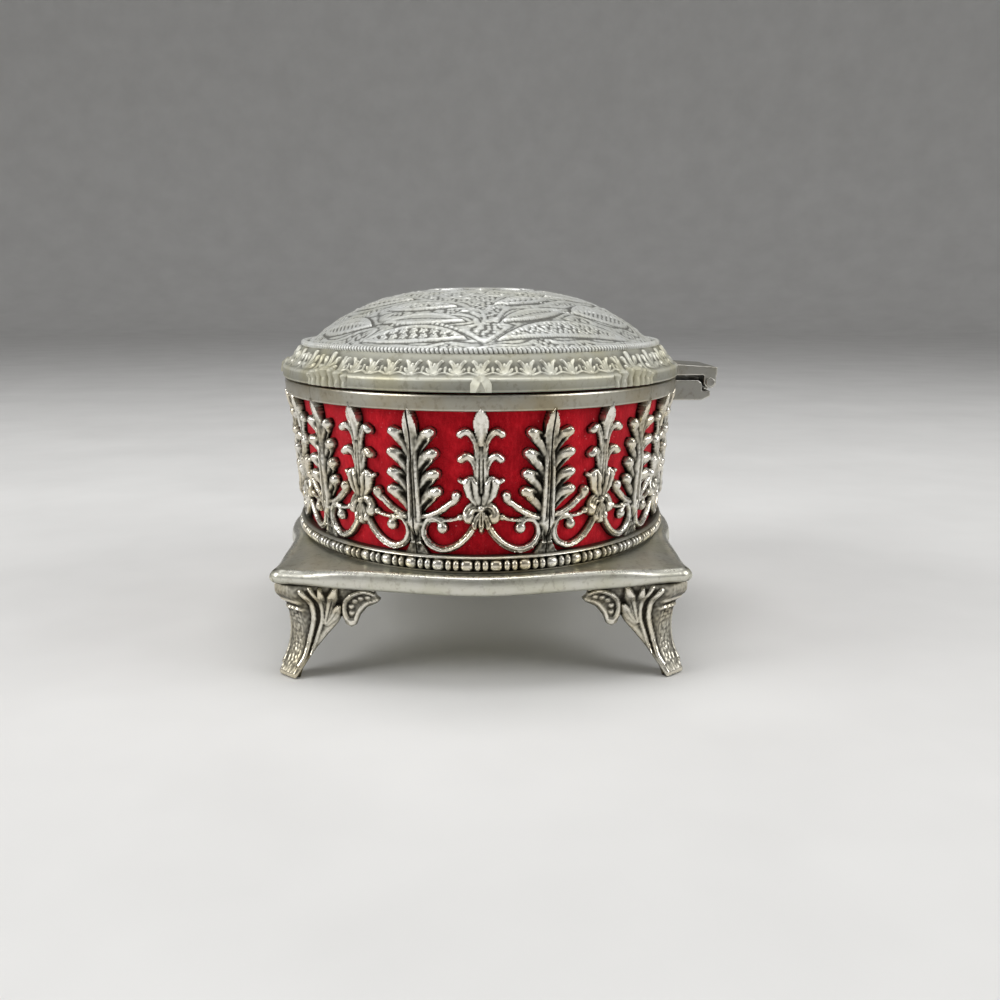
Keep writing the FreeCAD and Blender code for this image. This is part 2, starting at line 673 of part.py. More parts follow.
def dome_leaf(start, end, width):
    """Upright prism over a leaf of two arcs."""
    root = on_dome(*start)
    tip = on_dome(*end)
    middle = (root + tip) / 2
    across = Vector(root.y - tip.y, tip.x - root.x, 0).normalize() * (width / 2)
    face = face_of([arc(root, middle + across, tip), arc(tip, middle - across, root)])
    return face.extrude(Vector(0, 0, DOME_RISE + RELIEF_RISE))


def dome_ornament():
    """Leaves and flower, all cut off at the same height above the dome's ground."""
    prisms = []
    for start, end, width in DOME_LEAVES:
        leaf = dome_leaf(start, end, width)
        turned = leaf.copy()
        turned.rotate(Vector(0, 0, 0), Vector(0, 0, 1), 180)
        prisms += [leaf, turned]
    for petal in range(PETALS):
        angle = 2 * math.pi * petal / PETALS
        direction = (math.cos(angle), math.sin(angle))
        start, end = [[reach * share for share in direction] for reach in (PETAL_START, PETAL_END)]
        prisms.append(dome_leaf(start, end, PETAL_WIDTH))
    middle = on_dome(FLOWER_MIDDLE, FLOWER_MIDDLE)
    boss = Part.Face(oval(middle.x, middle.y, ROPE_Z))
    prisms.append(boss.extrude(Vector(0, 0, DOME_RISE + RELIEF_RISE)))
    raised = Part.makeLoft(dome_ovals(0, 0), True, True)
    return [raised.common(prism) for prism in prisms]


def edge_block(width, height, reach, face_share):
    """Boss on the lid's edge, facing -Y from the origin and narrowing outwards."""
    sink = LID_WALL / 2
    corners = [(-1, -1), (1, -1), (1, 1), (-1, 1)]
    middle = LID_BOTTOM + height / 2
    wires = []
    for y, share in ((sink, 1), (-reach * BOSS_STRAIGHT, 1), (-reach, face_share)):
        half_width = width / 2 * share
        half_height = height / 2 * share
        points = [Vector(a * half_width, y, middle + b * half_height) for a, b in corners]
        wires.append(Part.makePolygon(points + points[:1]))
    return Part.makeLoft(wires, True, True)


def lid_bosses():
    bosses = []
    end_reach = RIM_HALF_LENGTH + LID_OVERHANG
    end = edge_block(END_BOSS_WIDTH, END_BOSS_HEIGHT, END_BOSS_REACH, END_BOSS_FACE)
    end.rotate(Vector(0, 0, 0), Vector(0, 0, 1), 90)
    end.translate(Vector(end_reach, 0, 0))
    bosses += [end, mirror_x(end)]
    thumb = edge_block(THUMB_BOSS_WIDTH, THUMB_BOSS_HEIGHT, THUMB_BOSS_REACH, THUMB_BOSS_FACE)
    thumb.translate(Vector(0, -RIM_HALF_WIDTH - LID_OVERHANG, 0))
    bosses.append(thumb)
    half_width = RIM_HALF_WIDTH + LID_OVERHANG
    for side in HALVES:
        angle = FLUTE_ANGLE + side * FLUTE_SPACING / 2 / half_width
        foot = Vector(end_reach * math.cos(angle), half_width * math.sin(angle), LID_BOTTOM)
        flute = Part.makeCylinder(FLUTE_RADIUS, LID_EDGE_HEIGHT, foot)
        bosses += [flute, mirror_x(flute), mirror_y(flute), mirror_x(mirror_y(flute))]
    return bosses


def lid_shell():
    inside = lid_inside()
    return fuse_all([lid_outside()] + lid_bosses() + dome_ornament()).cut(inside).removeSplitter()


# Hinge

def hinge_bracket():
    end = HINGE_Y - KNUCKLE_RADIUS - BRACKET_KNUCKLE_GAP
    top = HINGE_Z + BRACKET_RISE
    bottom = top - BRACKET_HEIGHT
    lip_bottom = bottom + BRACKET_LIP_LIFT
    lip_top = lip_bottom + BRACKET_LIP
    lip_end = HINGE_Y + BRACKET_LIP_REACH
    root = RIM_HALF_WIDTH - RIM_THICKNESS - GALLERY_INNER
    points = [
        (root, bottom),
        (end, bottom),
        (lip_end, lip_bottom),
        (lip_end, lip_top),
        (end, lip_top),
        (end, top - BRACKET_CORNER),
        (end - BRACKET_CORNER, top),
        (root, top),
    ]
    bracket = prism_x(points, HINGE_HALF_WIDTH)
    web_half = KNUCKLE_RADIUS - BRACKET_KNUCKLE_GAP
    web_points = [
        (HINGE_Y - web_half, lip_bottom),
        (lip_end, lip_bottom),
        (HINGE_Y + web_half, lip_top),
        (HINGE_Y + web_half, HINGE_Z),
        (HINGE_Y - web_half, HINGE_Z),
    ]
    web = prism_x(web_points, MIDDLE_KNUCKLE / 2)
    knuckle = cylinder_x(KNUCKLE_RADIUS, -MIDDLE_KNUCKLE / 2, MIDDLE_KNUCKLE)
    bracket = fuse_all([bracket, web, knuckle])
    bore = cylinder_x(HINGE_PIN_RADIUS + HINGE_FIXED_CLEARANCE, -HINGE_HALF_WIDTH, 2 * HINGE_HALF_WIDTH)
    below = bottom - BRACKET_CORNER
    step = RIM_BOTTOM - PANEL_GAP
    body = stack([
        (wall_inset(below) + GALLERY_RECESS, below),
        (wall_inset(step) + GALLERY_RECESS, step),
        (wall_inset(RIM_BOTTOM) + PANEL_GAP, RIM_BOTTOM),
        (0, RIM_TOP - RIM_EDGE),
        (0, RIM_TOP),
    ])
    return bracket.cut(bore).cut(body).removeSplitter()


def lid_hinge_tongue():
    tail = HINGE_Y + TONGUE_TAIL
    root = RIM_HALF_WIDTH - LID_WALL
    tongue_points = [
        (root, TONGUE_UNDER),
        (tail, TONGUE_UNDER),
        (tail, TONGUE_UNDER + TONGUE_THICKNESS),
        (root, LID_LEDGE_Z - ROPE_RISE),
    ]
    pieces = [prism_x(tongue_points, HINGE_HALF_WIDTH)]
    web_points = [
        (HINGE_Y - KNUCKLE_RADIUS, HINGE_Z),
        (HINGE_Y + KNUCKLE_RADIUS, HINGE_Z),
        (HINGE_Y + KNUCKLE_RADIUS, TONGUE_UNDER + TONGUE_CLEARANCE),
        (HINGE_Y - KNUCKLE_RADIUS, TONGUE_UNDER + TONGUE_CLEARANCE),
    ]
    offset = HINGE_HALF_WIDTH - OUTER_KNUCKLE / 2
    for side in HALVES:
        web = prism_x(web_points, OUTER_KNUCKLE / 2)
        web.translate(Vector(side * offset, 0, 0))
        pieces += [web, cylinder_x(KNUCKLE_RADIUS, side * offset - OUTER_KNUCKLE / 2, OUTER_KNUCKLE)]
    bore = cylinder_x(HINGE_PIN_RADIUS + HINGE_RUNNING_CLEARANCE, -HINGE_HALF_WIDTH, 2 * HINGE_HALF_WIDTH)
    return fuse_all(pieces).cut(bore).cut(lid_outside()).removeSplitter()


def hinge_pin():
    half = HINGE_HALF_WIDTH + KNUCKLE_SIDE_GAP
    shaft = cylinder_x(HINGE_PIN_RADIUS, -half, 2 * half)
    heads = [cylinder_x(HINGE_PIN_HEAD_RADIUS, x, HINGE_PIN_HEAD) for x in (-half - HINGE_PIN_HEAD, half)]
    return fuse_all([shaft] + heads)


def build():
    right_end, back, left_end, front = gallery_panels()
    parts = {
        "base_plate": base_plate(),
        "foot_screws": foot_screws(),
        "gallery_front": front,
        "gallery_back": back,
        "gallery_left_end": left_end,
        "gallery_right_end": right_end,
        "outer_velvet": wall_band(VELVET_OUTER, CARD_OUTER, PLATE_TOP, CARD_TOP),
        "wall_card": wall_band(CARD_OUTER, CARD_INNER, PLATE_TOP, CARD_TOP),
        "inner_velvet": inner_velvet(),
        "floor_card": floor_card(),
        "floor_pad": floor_pad(),
        "lid_shell": lid_shell(),
        "lid_lining_card": lid_lining_card(),
        "lid_lining_pad": lid_lining_pad(),
        "lid_hinge_tongue": lid_hinge_tongue(),
        "hinge_bracket": hinge_bracket(),
        "hinge_pin": hinge_pin(),
    }
    parts.update(feet())
    return parts


os.makedirs("parts", exist_ok=True)
for name, shape in build().items():
    shape.exportStep("parts/" + name + ".step")
    print(name, len(shape.Solids), "solids", round(shape.Volume, 1), "mm3", shape.isValid())
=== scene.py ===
import math

import bpy
import numpy as np
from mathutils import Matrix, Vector


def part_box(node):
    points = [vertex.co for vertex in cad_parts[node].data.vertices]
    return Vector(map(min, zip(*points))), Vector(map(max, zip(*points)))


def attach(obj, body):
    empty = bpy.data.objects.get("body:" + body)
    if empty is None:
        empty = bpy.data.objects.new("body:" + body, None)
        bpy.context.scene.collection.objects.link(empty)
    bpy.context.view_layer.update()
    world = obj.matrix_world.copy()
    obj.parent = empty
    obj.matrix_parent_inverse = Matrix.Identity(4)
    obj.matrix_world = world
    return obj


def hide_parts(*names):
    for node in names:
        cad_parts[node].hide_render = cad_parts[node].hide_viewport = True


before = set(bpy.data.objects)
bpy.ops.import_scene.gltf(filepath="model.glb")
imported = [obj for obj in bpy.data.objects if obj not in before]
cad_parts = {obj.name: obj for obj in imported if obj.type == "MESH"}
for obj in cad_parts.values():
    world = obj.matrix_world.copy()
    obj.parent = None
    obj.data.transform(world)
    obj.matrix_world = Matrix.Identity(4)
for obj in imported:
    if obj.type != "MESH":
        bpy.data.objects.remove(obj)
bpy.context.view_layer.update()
MM = 0.001

# Sizes below are in millimetres in the frame's own axes. Meshes are made in metres.


def box_mm(node):
    low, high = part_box(node)
    return np.array(low) / MM, np.array(high) / MM


# Main sizes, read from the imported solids
RIM_A = box_mm("gallery_right_end")[1][0]
RIM_B = box_mm("gallery_back")[1][1]
RIM_TOP = box_mm("gallery_back")[1][2]
FOOT_TOP = box_mm("base_plate")[0][2]
PLATE_TOP = box_mm("base_plate")[1][2]
LID_BOTTOM = box_mm("lid_shell")[0][2]
LID_TOP = box_mm("lid_shell")[1][2]

# Body
WALL_TAPER = 2.9
RIM_HEIGHT = 3.1
RIM_THICKNESS = 2.0
BEAD_HEIGHT = 3.3
GALLERY_BACK = 2.2
MOTIF_COUNT = 24
DRAWN_PITCH = 13.5
SEAM_GAP = 0.1

# Lid
LID_OVERHANG = 0.3
LID_EDGE_HEIGHT = 2.75
COVE_START = 0.9
COVE_DEPTH = 3.4
COVE_RISE = 4.55
ROPE_RADIUS = 0.66
ROPE_PITCH = 0.9
DOME_RISE = 12.1
DOME_POWER = 3.0

BEAD_TOP = PLATE_TOP + BEAD_HEIGHT
RIM_BOTTOM = RIM_TOP - RIM_HEIGHT
LEDGE_Z = LID_BOTTOM + LID_EDGE_HEIGHT
ROPE_Z = LEDGE_Z + COVE_RISE
ROPE_INSET = COVE_START + COVE_DEPTH

# Stands for "nothing near" when distances are compared
FAR = 1e9


# Numbers on grids

def smooth(low, high, x):
    """Soft step from 0 at low to 1 at high."""
    t = np.clip((x - low) / (high - low), 0, 1)
    return t * t * (3 - 2 * t)


def bell(x, width):
    """Soft bump: 1 at 0, almost gone at twice the width."""
    return np.exp(-(x / width) ** 2)


def dome_of(share):
    """Quarter-circle rise: 0 at an outline, 1 where share reaches 1."""
    return np.sqrt(1 - (1 - np.clip(share, 0, 1)) ** 2)


def blur(values, cells):
    """Soft mean over a grid, three box passes each way."""
    cells = max(1, int(round(cells)))
    width = 2 * cells + 1
    for axis in (0, 1):
        for _ in range(3):
            pad = [(cells + 1, cells) if a == axis else (0, 0) for a in (0, 1)]
            sums = np.cumsum(np.pad(values, pad, mode="edge"), axis=axis)
            ahead = np.take(sums, range(width, sums.shape[axis]), axis=axis)
            behind = np.take(sums, range(0, sums.shape[axis] - width), axis=axis)
            values = (ahead - behind) / width
    return values


def turns(count):
    """Angles once round, evenly spaced."""
    return np.linspace(0, 2 * math.pi, count, endpoint=False)


def unit(vectors):
    return vectors / np.linalg.norm(vectors, axis=-1, keepdims=True)


def lengths_along(path):
    """Length from a path's start to each of its points."""
    return np.concatenate([[0], np.cumsum(np.hypot(*np.diff(path, axis=0).T))])


def curve(points, steps=8):
    """Smooth line through given points."""
    p = np.array(points, float)
    p = np.vstack([2 * p[0] - p[1], p, 2 * p[-1] - p[-2]])
    t = np.linspace(0, 1, steps, endpoint=False)[:, None]
    runs = []
    for a, b, c, d in zip(p[:-3], p[1:-2], p[2:-1], p[3:]):
        slope = (c - a) / 2
        bend = a - 2.5 * b + 2 * c - d / 2
        twist = 1.5 * (b - c) + (d - a) / 2
        runs.append(b + t * slope + t * t * bend + t ** 3 * twist)
    return np.vstack(runs + [p[-2:-1]])


def from_stretch(x, y, start, stop):
    """Share along a straight stretch that is nearest to each point, and the steps from there to the point."""
    (x0, y0), (x1, y1) = start, stop
    dx, dy = x1 - x0, y1 - y0
    t = np.clip(((x - x0) * dx + (y - y0) * dy) / (dx * dx + dy * dy), 0, 1)
    return t, x - x0 - t * dx, y - y0 - t * dy


# Widths of a leaf, as shares, at these shares of its length
LEAF_STATIONS = (0, 0.4, 0.75, 1)
LEAF = (0.5, 0.85, 1.0, 0.55)
PLUMP = (0.6, 0.95, 1.0, 0.8)
CURL = (0.75, 0.62, 0.85, 1.0)

# A leaf's tip curls up over this stretch of its length
TIP_SPAN = (0.55, 0.95)

# Fine lines in the relief: places as shares of the half width, widths in mm
GROOVE_AT = 0.42
GROOVE_WIDTH = 0.13
VEIN_WIDTH = 0.16
HOLLOW_AT = 0.45
HOLLOW_SHARE = 0.3

# Ribs of a stem sink by this share over this length at its top
RIB_SINK = 0.6
RIB_SINK_LENGTH = 6.0

# Blades: width at the foot, slope of the sides, and how far the point stands out to lie over the rim
SPEAR_FOOT = 0.35
SPEAR_FLANK = 0.55
SPEAR_RIM = 0.12
SPEAR_LIFT = 1.0
SPEAR_LIFT_FROM = 7.0
SPEAR_LIFT_TO = 1.2

# Painted light and wear of plain ground, and how much near and fine relief change it: painted shade in
# creases, painted highlight on high places
LIGHT_AND_WEAR_PLAIN = 0.42
LIGHT_AND_WEAR_NEAR = 0.85
LIGHT_AND_WEAR_FINE = 1.7


class Relief:
    """Raised ornament on a flat grid.

    depth is the distance inside the outline, height stands above the back.
    """

    def __init__(self, xs, ys, low=0.45):
        self.xs, self.ys, self.low = xs, ys, low
        self.x, self.y = np.meshgrid(xs, ys)
        self.depth = np.full(self.x.shape, -9.0)
        self.height = np.zeros(self.x.shape)

    def add(self, inside, height):
        self.depth = np.maximum(self.depth, inside)
        self.height = np.maximum(self.height, np.where(inside > 0, height, 0))

    def nearest(self, path):
        """Distance to a path, share of the way along it, and the side (1 left, -1 right)."""
        ends = lengths_along(path)
        ends = ends / ends[-1]
        best = np.full(self.x.shape, FAR)
        along = np.zeros(self.x.shape)
        side = np.zeros(self.x.shape)
        for a, b, start, stop in zip(path[:-1], path[1:], ends[:-1], ends[1:]):
            t, ex, ey = from_stretch(self.x, self.y, a, b)
            dx, dy = b - a
            far = np.hypot(ex, ey)
            closer = far < best
            best = np.where(closer, far, best)
            along = np.where(closer, start + (stop - start) * t, along)
            side = np.where(closer, np.sign(dx * ey - dy * ex), side)
        return best, along, side

    def ball(self, x, y, radius, rise):
        inside = radius - np.hypot(self.x - x, self.y - y)
        self.add(inside, self.low + rise * dome_of(inside / radius))

    def band(self, points, start_width, end_width, rise, groove=0.0):
        """Scroll band with a rounded top and, at one side, a fine groove."""
        far, along, side = self.nearest(curve(points))
        half = (start_width + (end_width - start_width) * along) / 2
        inside = half - far
        line = bell(far * side + half * GROOVE_AT, GROOVE_WIDTH)
        self.add(inside, self.low + rise * dome_of(inside / half * 1.25) - groove * line)

    def leaf(self, points, width, rise, curl=0.5, vein=0.25, shape=LEAF, hollow=0.0):
        """Plump leaf along a spine, with a raised curled tip, a midrib groove and one hollowed side."""
        far, along, side = self.nearest(curve(points))
        half = width / 2 * np.interp(along, LEAF_STATIONS, shape)
        inside = half - far
        tip = smooth(*TIP_SPAN, along)
        height = self.low + (rise + curl * tip) * dome_of(inside / half)
        height -= vein * (1 - tip) * bell(far, VEIN_WIDTH)
        height -= hollow * (1 - tip) * bell(far * side / half + HOLLOW_AT, HOLLOW_SHARE)
        self.add(inside, height)

    def ribs(self, low_half, high_half, bottom, top, rise, ridge):
        """Upright stem of three ribs."""
        half = low_half + (high_half - low_half) * np.clip((self.y - bottom) / (top - bottom), 0, 1)
        inside = np.minimum(half - np.abs(self.x), np.minimum(self.y - bottom, top - self.y))
        wave = np.abs(np.cos(1.5 * math.pi * self.x / half)) ** 0.7
        fade = 1 - RIB_SINK * smooth(top - RIB_SINK_LENGTH, top, self.y)
        self.add(inside, self.low + (rise * dome_of(inside / half * 2) + ridge * wave) * fade)

    def spear(self, bottom, wide, top, half_width, rise):
        """Pointed blade with a ridge down its middle and a fine raised rim."""
        below = smooth(bottom, wide, self.y) * (1 - SPEAR_FOOT) + SPEAR_FOOT
        above = 1 - np.clip((self.y - wide) / (top - wide), 0, 1) ** 1.5
        half = half_width * np.minimum(below, above) + 1e-4
        inside = np.minimum(half - np.abs(self.x), self.y - bottom) * 0.85
        inside = np.minimum(inside, top - self.y)
        share = np.abs(self.x) / half
        ridge = rise * (1 - SPEAR_FLANK * np.clip(share, 0, 1)) + SPEAR_RIM * smooth(0.7, 0.95, share)
        lift = SPEAR_LIFT * smooth(top - SPEAR_LIFT_FROM, top - SPEAR_LIFT_TO, self.y)
        self.add(inside, self.low + ridge + lift)

    def both(self, method, points, *rest):
        """Draws the same at both sides of the middle."""
        method(points, *rest)
        method([(-x, y) for x, y in points], *rest)

    def painted_light_and_wear(self, reach):
        """0 in creases, painted shade; about 0.4 on plain ground; 1 on high places that hands have rubbed
        bright, with a painted highlight.
        """
        cell = self.xs[1] - self.xs[0]
        filled = np.where(self.depth > 0, self.height, self.low * 0.7)
        near = filled - blur(filled, reach / cell)
        fine = filled - blur(filled, reach / 3 / cell)
        return np.clip(LIGHT_AND_WEAR_PLAIN + LIGHT_AND_WEAR_NEAR * near + LIGHT_AND_WEAR_FINE * fine, 0, 1)


# Ovals and places on them

class Oval:
    """Ellipse with even spacing along its length."""

    def __init__(self, a, b, count=4001):
        self.a, self.b = a, b
        self.angles = np.linspace(0, 2 * math.pi, count)
        self.arc = lengths_along(np.stack([a * np.cos(self.angles), b * np.sin(self.angles)], -1))
        self.length = self.arc[-1]

    def even(self, count):
        """Lengths once round, evenly spaced."""
        return np.linspace(0, self.length, count, endpoint=False)

    def at(self, s):
        """Points and outward directions at lengths s."""
        angle = np.interp(np.mod(s, self.length), self.arc, self.angles)
        normal = unit(np.stack([np.cos(angle) / self.a, np.sin(angle) / self.b], -1))
        return np.stack([self.a * np.cos(angle), self.b * np.sin(angle)], -1), normal

    def place(self, s, out, z):
        """Frame points at lengths s, out from the oval, at heights z."""
        point, normal = self.at(s)
        flat = point + normal * np.asarray(out)[..., None]
        return np.concatenate([flat, np.broadcast_to(z, flat.shape[:-1])[..., None]], -1)


def wall_inset(z):
    return WALL_TAPER * (RIM_TOP - z) / (RIM_TOP - PLATE_TOP)


# The wall's length is measured here, within the thickness of the openwork
MEASURED_IN = 0.9
MIDDLE_INSET = wall_inset((BEAD_TOP + RIM_BOTTOM) / 2) + MEASURED_IN
WALL = Oval(RIM_A - MIDDLE_INSET, RIM_B - MIDDLE_INSET)
PITCH = WALL.length / MOTIF_COUNT


def on_wall(s, z, inward):
    """Frame points on the leaning wall, inward from its outer line."""
    return WALL.place(s, MIDDLE_INSET - wall_inset(z) - inward, z)


# Meshes

class Shape:
    """Points, faces and a value per point of wear and painted light, put together from several surfaces."""

    def __init__(self):
        self.points, self.faces, self.light_and_wear = [], [], []
        self.count = 0

    def add(self, points, faces, light_and_wear=0.6):
        points = np.asarray(points).reshape(-1, 3)
        self.points.append(points)
        self.faces += (np.asarray(faces) + self.count).tolist()
        self.light_and_wear.append(np.broadcast_to(np.asarray(light_and_wear, float).ravel(), (len(points),)))
        self.count += len(points)

    def grid(self, points, light_and_wear=0.6, around=False, across=False):
        """Surface over rows and columns of points.

        around joins the last column to the first, across the last row to the first.
        """
        rows, columns = points.shape[:2]
        index = np.arange(rows * columns).reshape(rows, columns)
        if around:
            index = np.hstack([index, index[:, :1]])
        if across:
            index = np.vstack([index, index[:1]])
        corners = index[:-1, :-1], index[:-1, 1:], index[1:, 1:], index[1:, :-1]
        self.add(points, np.stack([c.ravel() for c in corners], -1), light_and_wear)

    def cap(self, ring, flip=False):
        """Flat fan over a closed ring."""
        ring = np.asarray(ring)
        count = len(ring)
        after = (np.arange(count) + 1) % count
        faces = np.stack([np.arange(count), after, np.full(count, count)], -1)
        if flip:
            faces = faces[:, ::-1]
        self.add(np.vstack([ring, ring.mean(0)]), faces)

    def knob(self, rings, light_and_wear):
        """Closed rings joined one to the next, with a cap at each end."""
        self.grid(np.array(rings), light_and_wear, around=True)
        self.cap(rings[-1])
        self.cap(rings[0], True)

    def make(self, name, body, material, stands_for=None, sharp=50):
        mesh = bpy.data.meshes.new(name)
        mesh.from_pydata(np.vstack(self.points) * MM, [], self.faces)
        mesh.validate()
        mesh.shade_smooth()
        mesh.set_sharp_from_angle(angle=math.radians(sharp))
        values = mesh.attributes.new("painted_light_and_wear", "FLOAT", "POINT")
        values.data.foreach_set("value", np.concatenate(self.light_and_wear).astype(np.float32))
        mesh.materials.append(material)
        obj = bpy.data.objects.new(name, mesh)
        bpy.context.scene.collection.objects.link(obj)
        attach(obj, body)
        if stands_for:
            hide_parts(stands_for)
        return obj


# Waves across x and y, and a shift, that together look like the lumps of a casting
GRAIN_WAVES = ((4.1, 1.7, 0.0), (-2.3, 3.9, 1.0), (5.7, -4.4, 2.1), (1.3, 6.3, 4.0), (-6.9, -2.2, 5.2))


def cast_grain(x, y, size):
    """Slight lumps of a worn casting."""
    total = 0
    for a, b, c in GRAIN_WAVES:
        total = total + np.sin(a * x + b * y + 1.7 * np.sin(0.9 * x - 1.1 * y + c))
    return size * total / len(GRAIN_WAVES)


# The painted light and wear at a relief's outline is at most this, so that its foot stays dark as painted
# shade
OUTLINE_SHADE_CAP = 0.3


def relief_shell(shape, relief, place, light_and_wear, back=0.0, closed=True, back_light_and_wear=0.0):
    """Adds a shell over the grid cells inside the relief's outline.

    place(x, y, height) gives points. The outline's points are drawn in to the true line.
    """
    depth = relief.depth
    rows, columns = depth.shape
    cell = relief.xs[1] - relief.xs[0]
    kept = depth[:-1, :-1] + depth[1:, :-1] + depth[:-1, 1:] + depth[1:, 1:] > 0
    count = np.zeros(depth.shape, int)
    for dy in (0, 1):
        for dx in (0, 1):
            count[dy:rows - 1 + dy, dx:columns - 1 + dx] += kept
    used = count > 0
    edge = used & (count < 4)
    slope_y, slope_x = np.gradient(depth, relief.ys, relief.xs)
    steep = np.hypot(slope_x, slope_y) + 1e-6
    shift = np.where(edge & (np.abs(depth) < 1.5 * cell), np.clip(depth / steep, -cell, cell), 0)
    x = relief.x - shift * slope_x / steep
    y = relief.y - shift * slope_y / steep
    x[:, [0, -1]] = relief.x[:, [0, -1]]
    y[[0, -1]] = relief.y[[0, -1]]
    top = np.where(edge, relief.low, np.maximum(relief.height, relief.low))
    total = used.sum()
    index = np.full(depth.shape, -1)
    index[used] = np.arange(total)
    corners = np.stack([index[:-1, :-1], index[:-1, 1:], index[1:, 1:], index[1:, :-1]], -1)
    front = corners[kept]
    faces = [front, front[:, ::-1] + total] if closed else [front]
    wide = np.pad(kept, 1)
    beside = [wide[:-2, 1:-1], wide[1:-1, 2:], wide[2:, 1:-1], wide[1:-1, :-2]]
    for turn, other in enumerate(beside):
        open_side = kept & ~other
        a, b = corners[open_side][:, turn], corners[open_side][:, (turn + 1) % 4]
        faces.append(np.stack([b, a, a + total, b + total], -1))
    points = np.vstack([place(x[used], y[used], top[used]), place(x[used], y[used], np.full(total, back))])
    # Painted shade at the relief's foot: its outline is kept dark
    front_light_and_wear = np.where(edge, np.minimum(light_and_wear, OUTLINE_SHADE_CAP), light_and_wear)[used]
    # The back points take the back value, 0 unless given: the walls round each opening fade to near black as
    # painted shade
    shape.add(points, np.vstack(faces), np.concatenate([front_light_and_wear, np.full(total, back_light_and_wear)]))


# Materials

class Paint:
    """A procedural material, with short ways to add nodes to it. Feature sizes are in millimetres."""

    def __init__(self, name):
        self.material = bpy.data.materials.new(name)
        self.material.use_nodes = True
        self.nodes = self.material.node_tree.nodes
        self.links = self.material.node_tree.links
        self.shader = self.nodes["Principled BSDF"]

    def set(self, socket, value):
        """Gives one of the shader's sockets a node's output or a constant."""
        if hasattr(value, "links"):
            self.links.new(value, self.shader.inputs[socket])
        else:
            self.shader.inputs[socket].default_value = value

    def ramp(self, source, stops):
        node = self.nodes.new("ShaderNodeValToRGB")
        node.color_ramp.elements[0].position = stops[0][0]
        node.color_ramp.elements[1].position = stops[-1][0]
        for place, _ in stops[1:-1]:
            node.color_ramp.elements.new(place)
        for element, (_, value) in zip(node.color_ramp.elements, stops):
            element.color = (*value, 1) if isinstance(value, tuple) else (value, value, value, 1)
        self.links.new(source, node.inputs["Fac"])
        return node.outputs["Color"]

    def noise(self, size, detail=4, stretch=(1, 1, 1)):
        coords = self.nodes.new("ShaderNodeTexCoord")
        mapping = self.nodes.new("ShaderNodeMapping")
        mapping.inputs["Scale"].default_value = stretch
        self.links.new(coords.outputs["Object"], mapping.inputs["Vector"])
        node = self.nodes.new("ShaderNodeTexNoise")
        node.inputs["Scale"].default_value = 1 / (size * MM)
        node.inputs["Detail"].default_value = detail
        node.inputs["Roughness"].default_value = 0.55
        self.links.new(mapping.outputs["Vector"], node.inputs["Vector"])
        return node.outputs["Fac"]

    def patches(self, size, detail, stops, stretch=(1, 1, 1)):
        """Noise turned into values or colours."""
        return self.ramp(self.noise(size, detail, stretch), stops)

    def mix(self, how, factor, a, b):
        node = self.nodes.new("ShaderNodeMix")
        node.data_type = "RGBA"
        node.blend_type = how
        for name, value in (("Factor", factor), ("A", a), ("B", b)):
            fits = [i for i in node.inputs if i.name == name and (i.type == "RGBA" or name == "Factor")]
            if hasattr(value, "links"):
                self.links.new(value, fits[0])
            else:
                fits[0].default_value = (*value, 1) if isinstance(value, tuple) else value
        return [o for o in node.outputs if o.type == "RGBA"][0]

    def bump(self, size, detail, depth):
        """Fine unevenness of the surface."""
        node = self.nodes.new("ShaderNodeBump")
        node.inputs["Distance"].default_value = depth * MM
        self.links.new(self.noise(size, detail), node.inputs["Height"])
        self.set("Normal", node.outputs["Normal"])


# Cast metals: feature sizes and depths in mm, and shares of how strongly they show
TARNISH_SIZE = 9.0
SPECK_SIZE = 1.1
SPECK_COLOUR = (0.55, 0.52, 0.46)
SPECK_SHARE = 0.5
DULLING_SIZE = 2.6
DULLING_SHARE = 0.6
SKIN_SIZE = 0.45
SKIN_DEPTH = 0.035
CREASE_SHADE = 0.35
WHITE = (1.0, 1.0, 1.0)

# Roughness in creases, on plain ground and on rubbed places
ANTIQUE_GLOSS = (0.62, 0.4, 0.27)
PLATE_GLOSS = (0.6, 0.46, 0.3)
MATTE_GLOSS = (0.75, 0.6, 0.48)


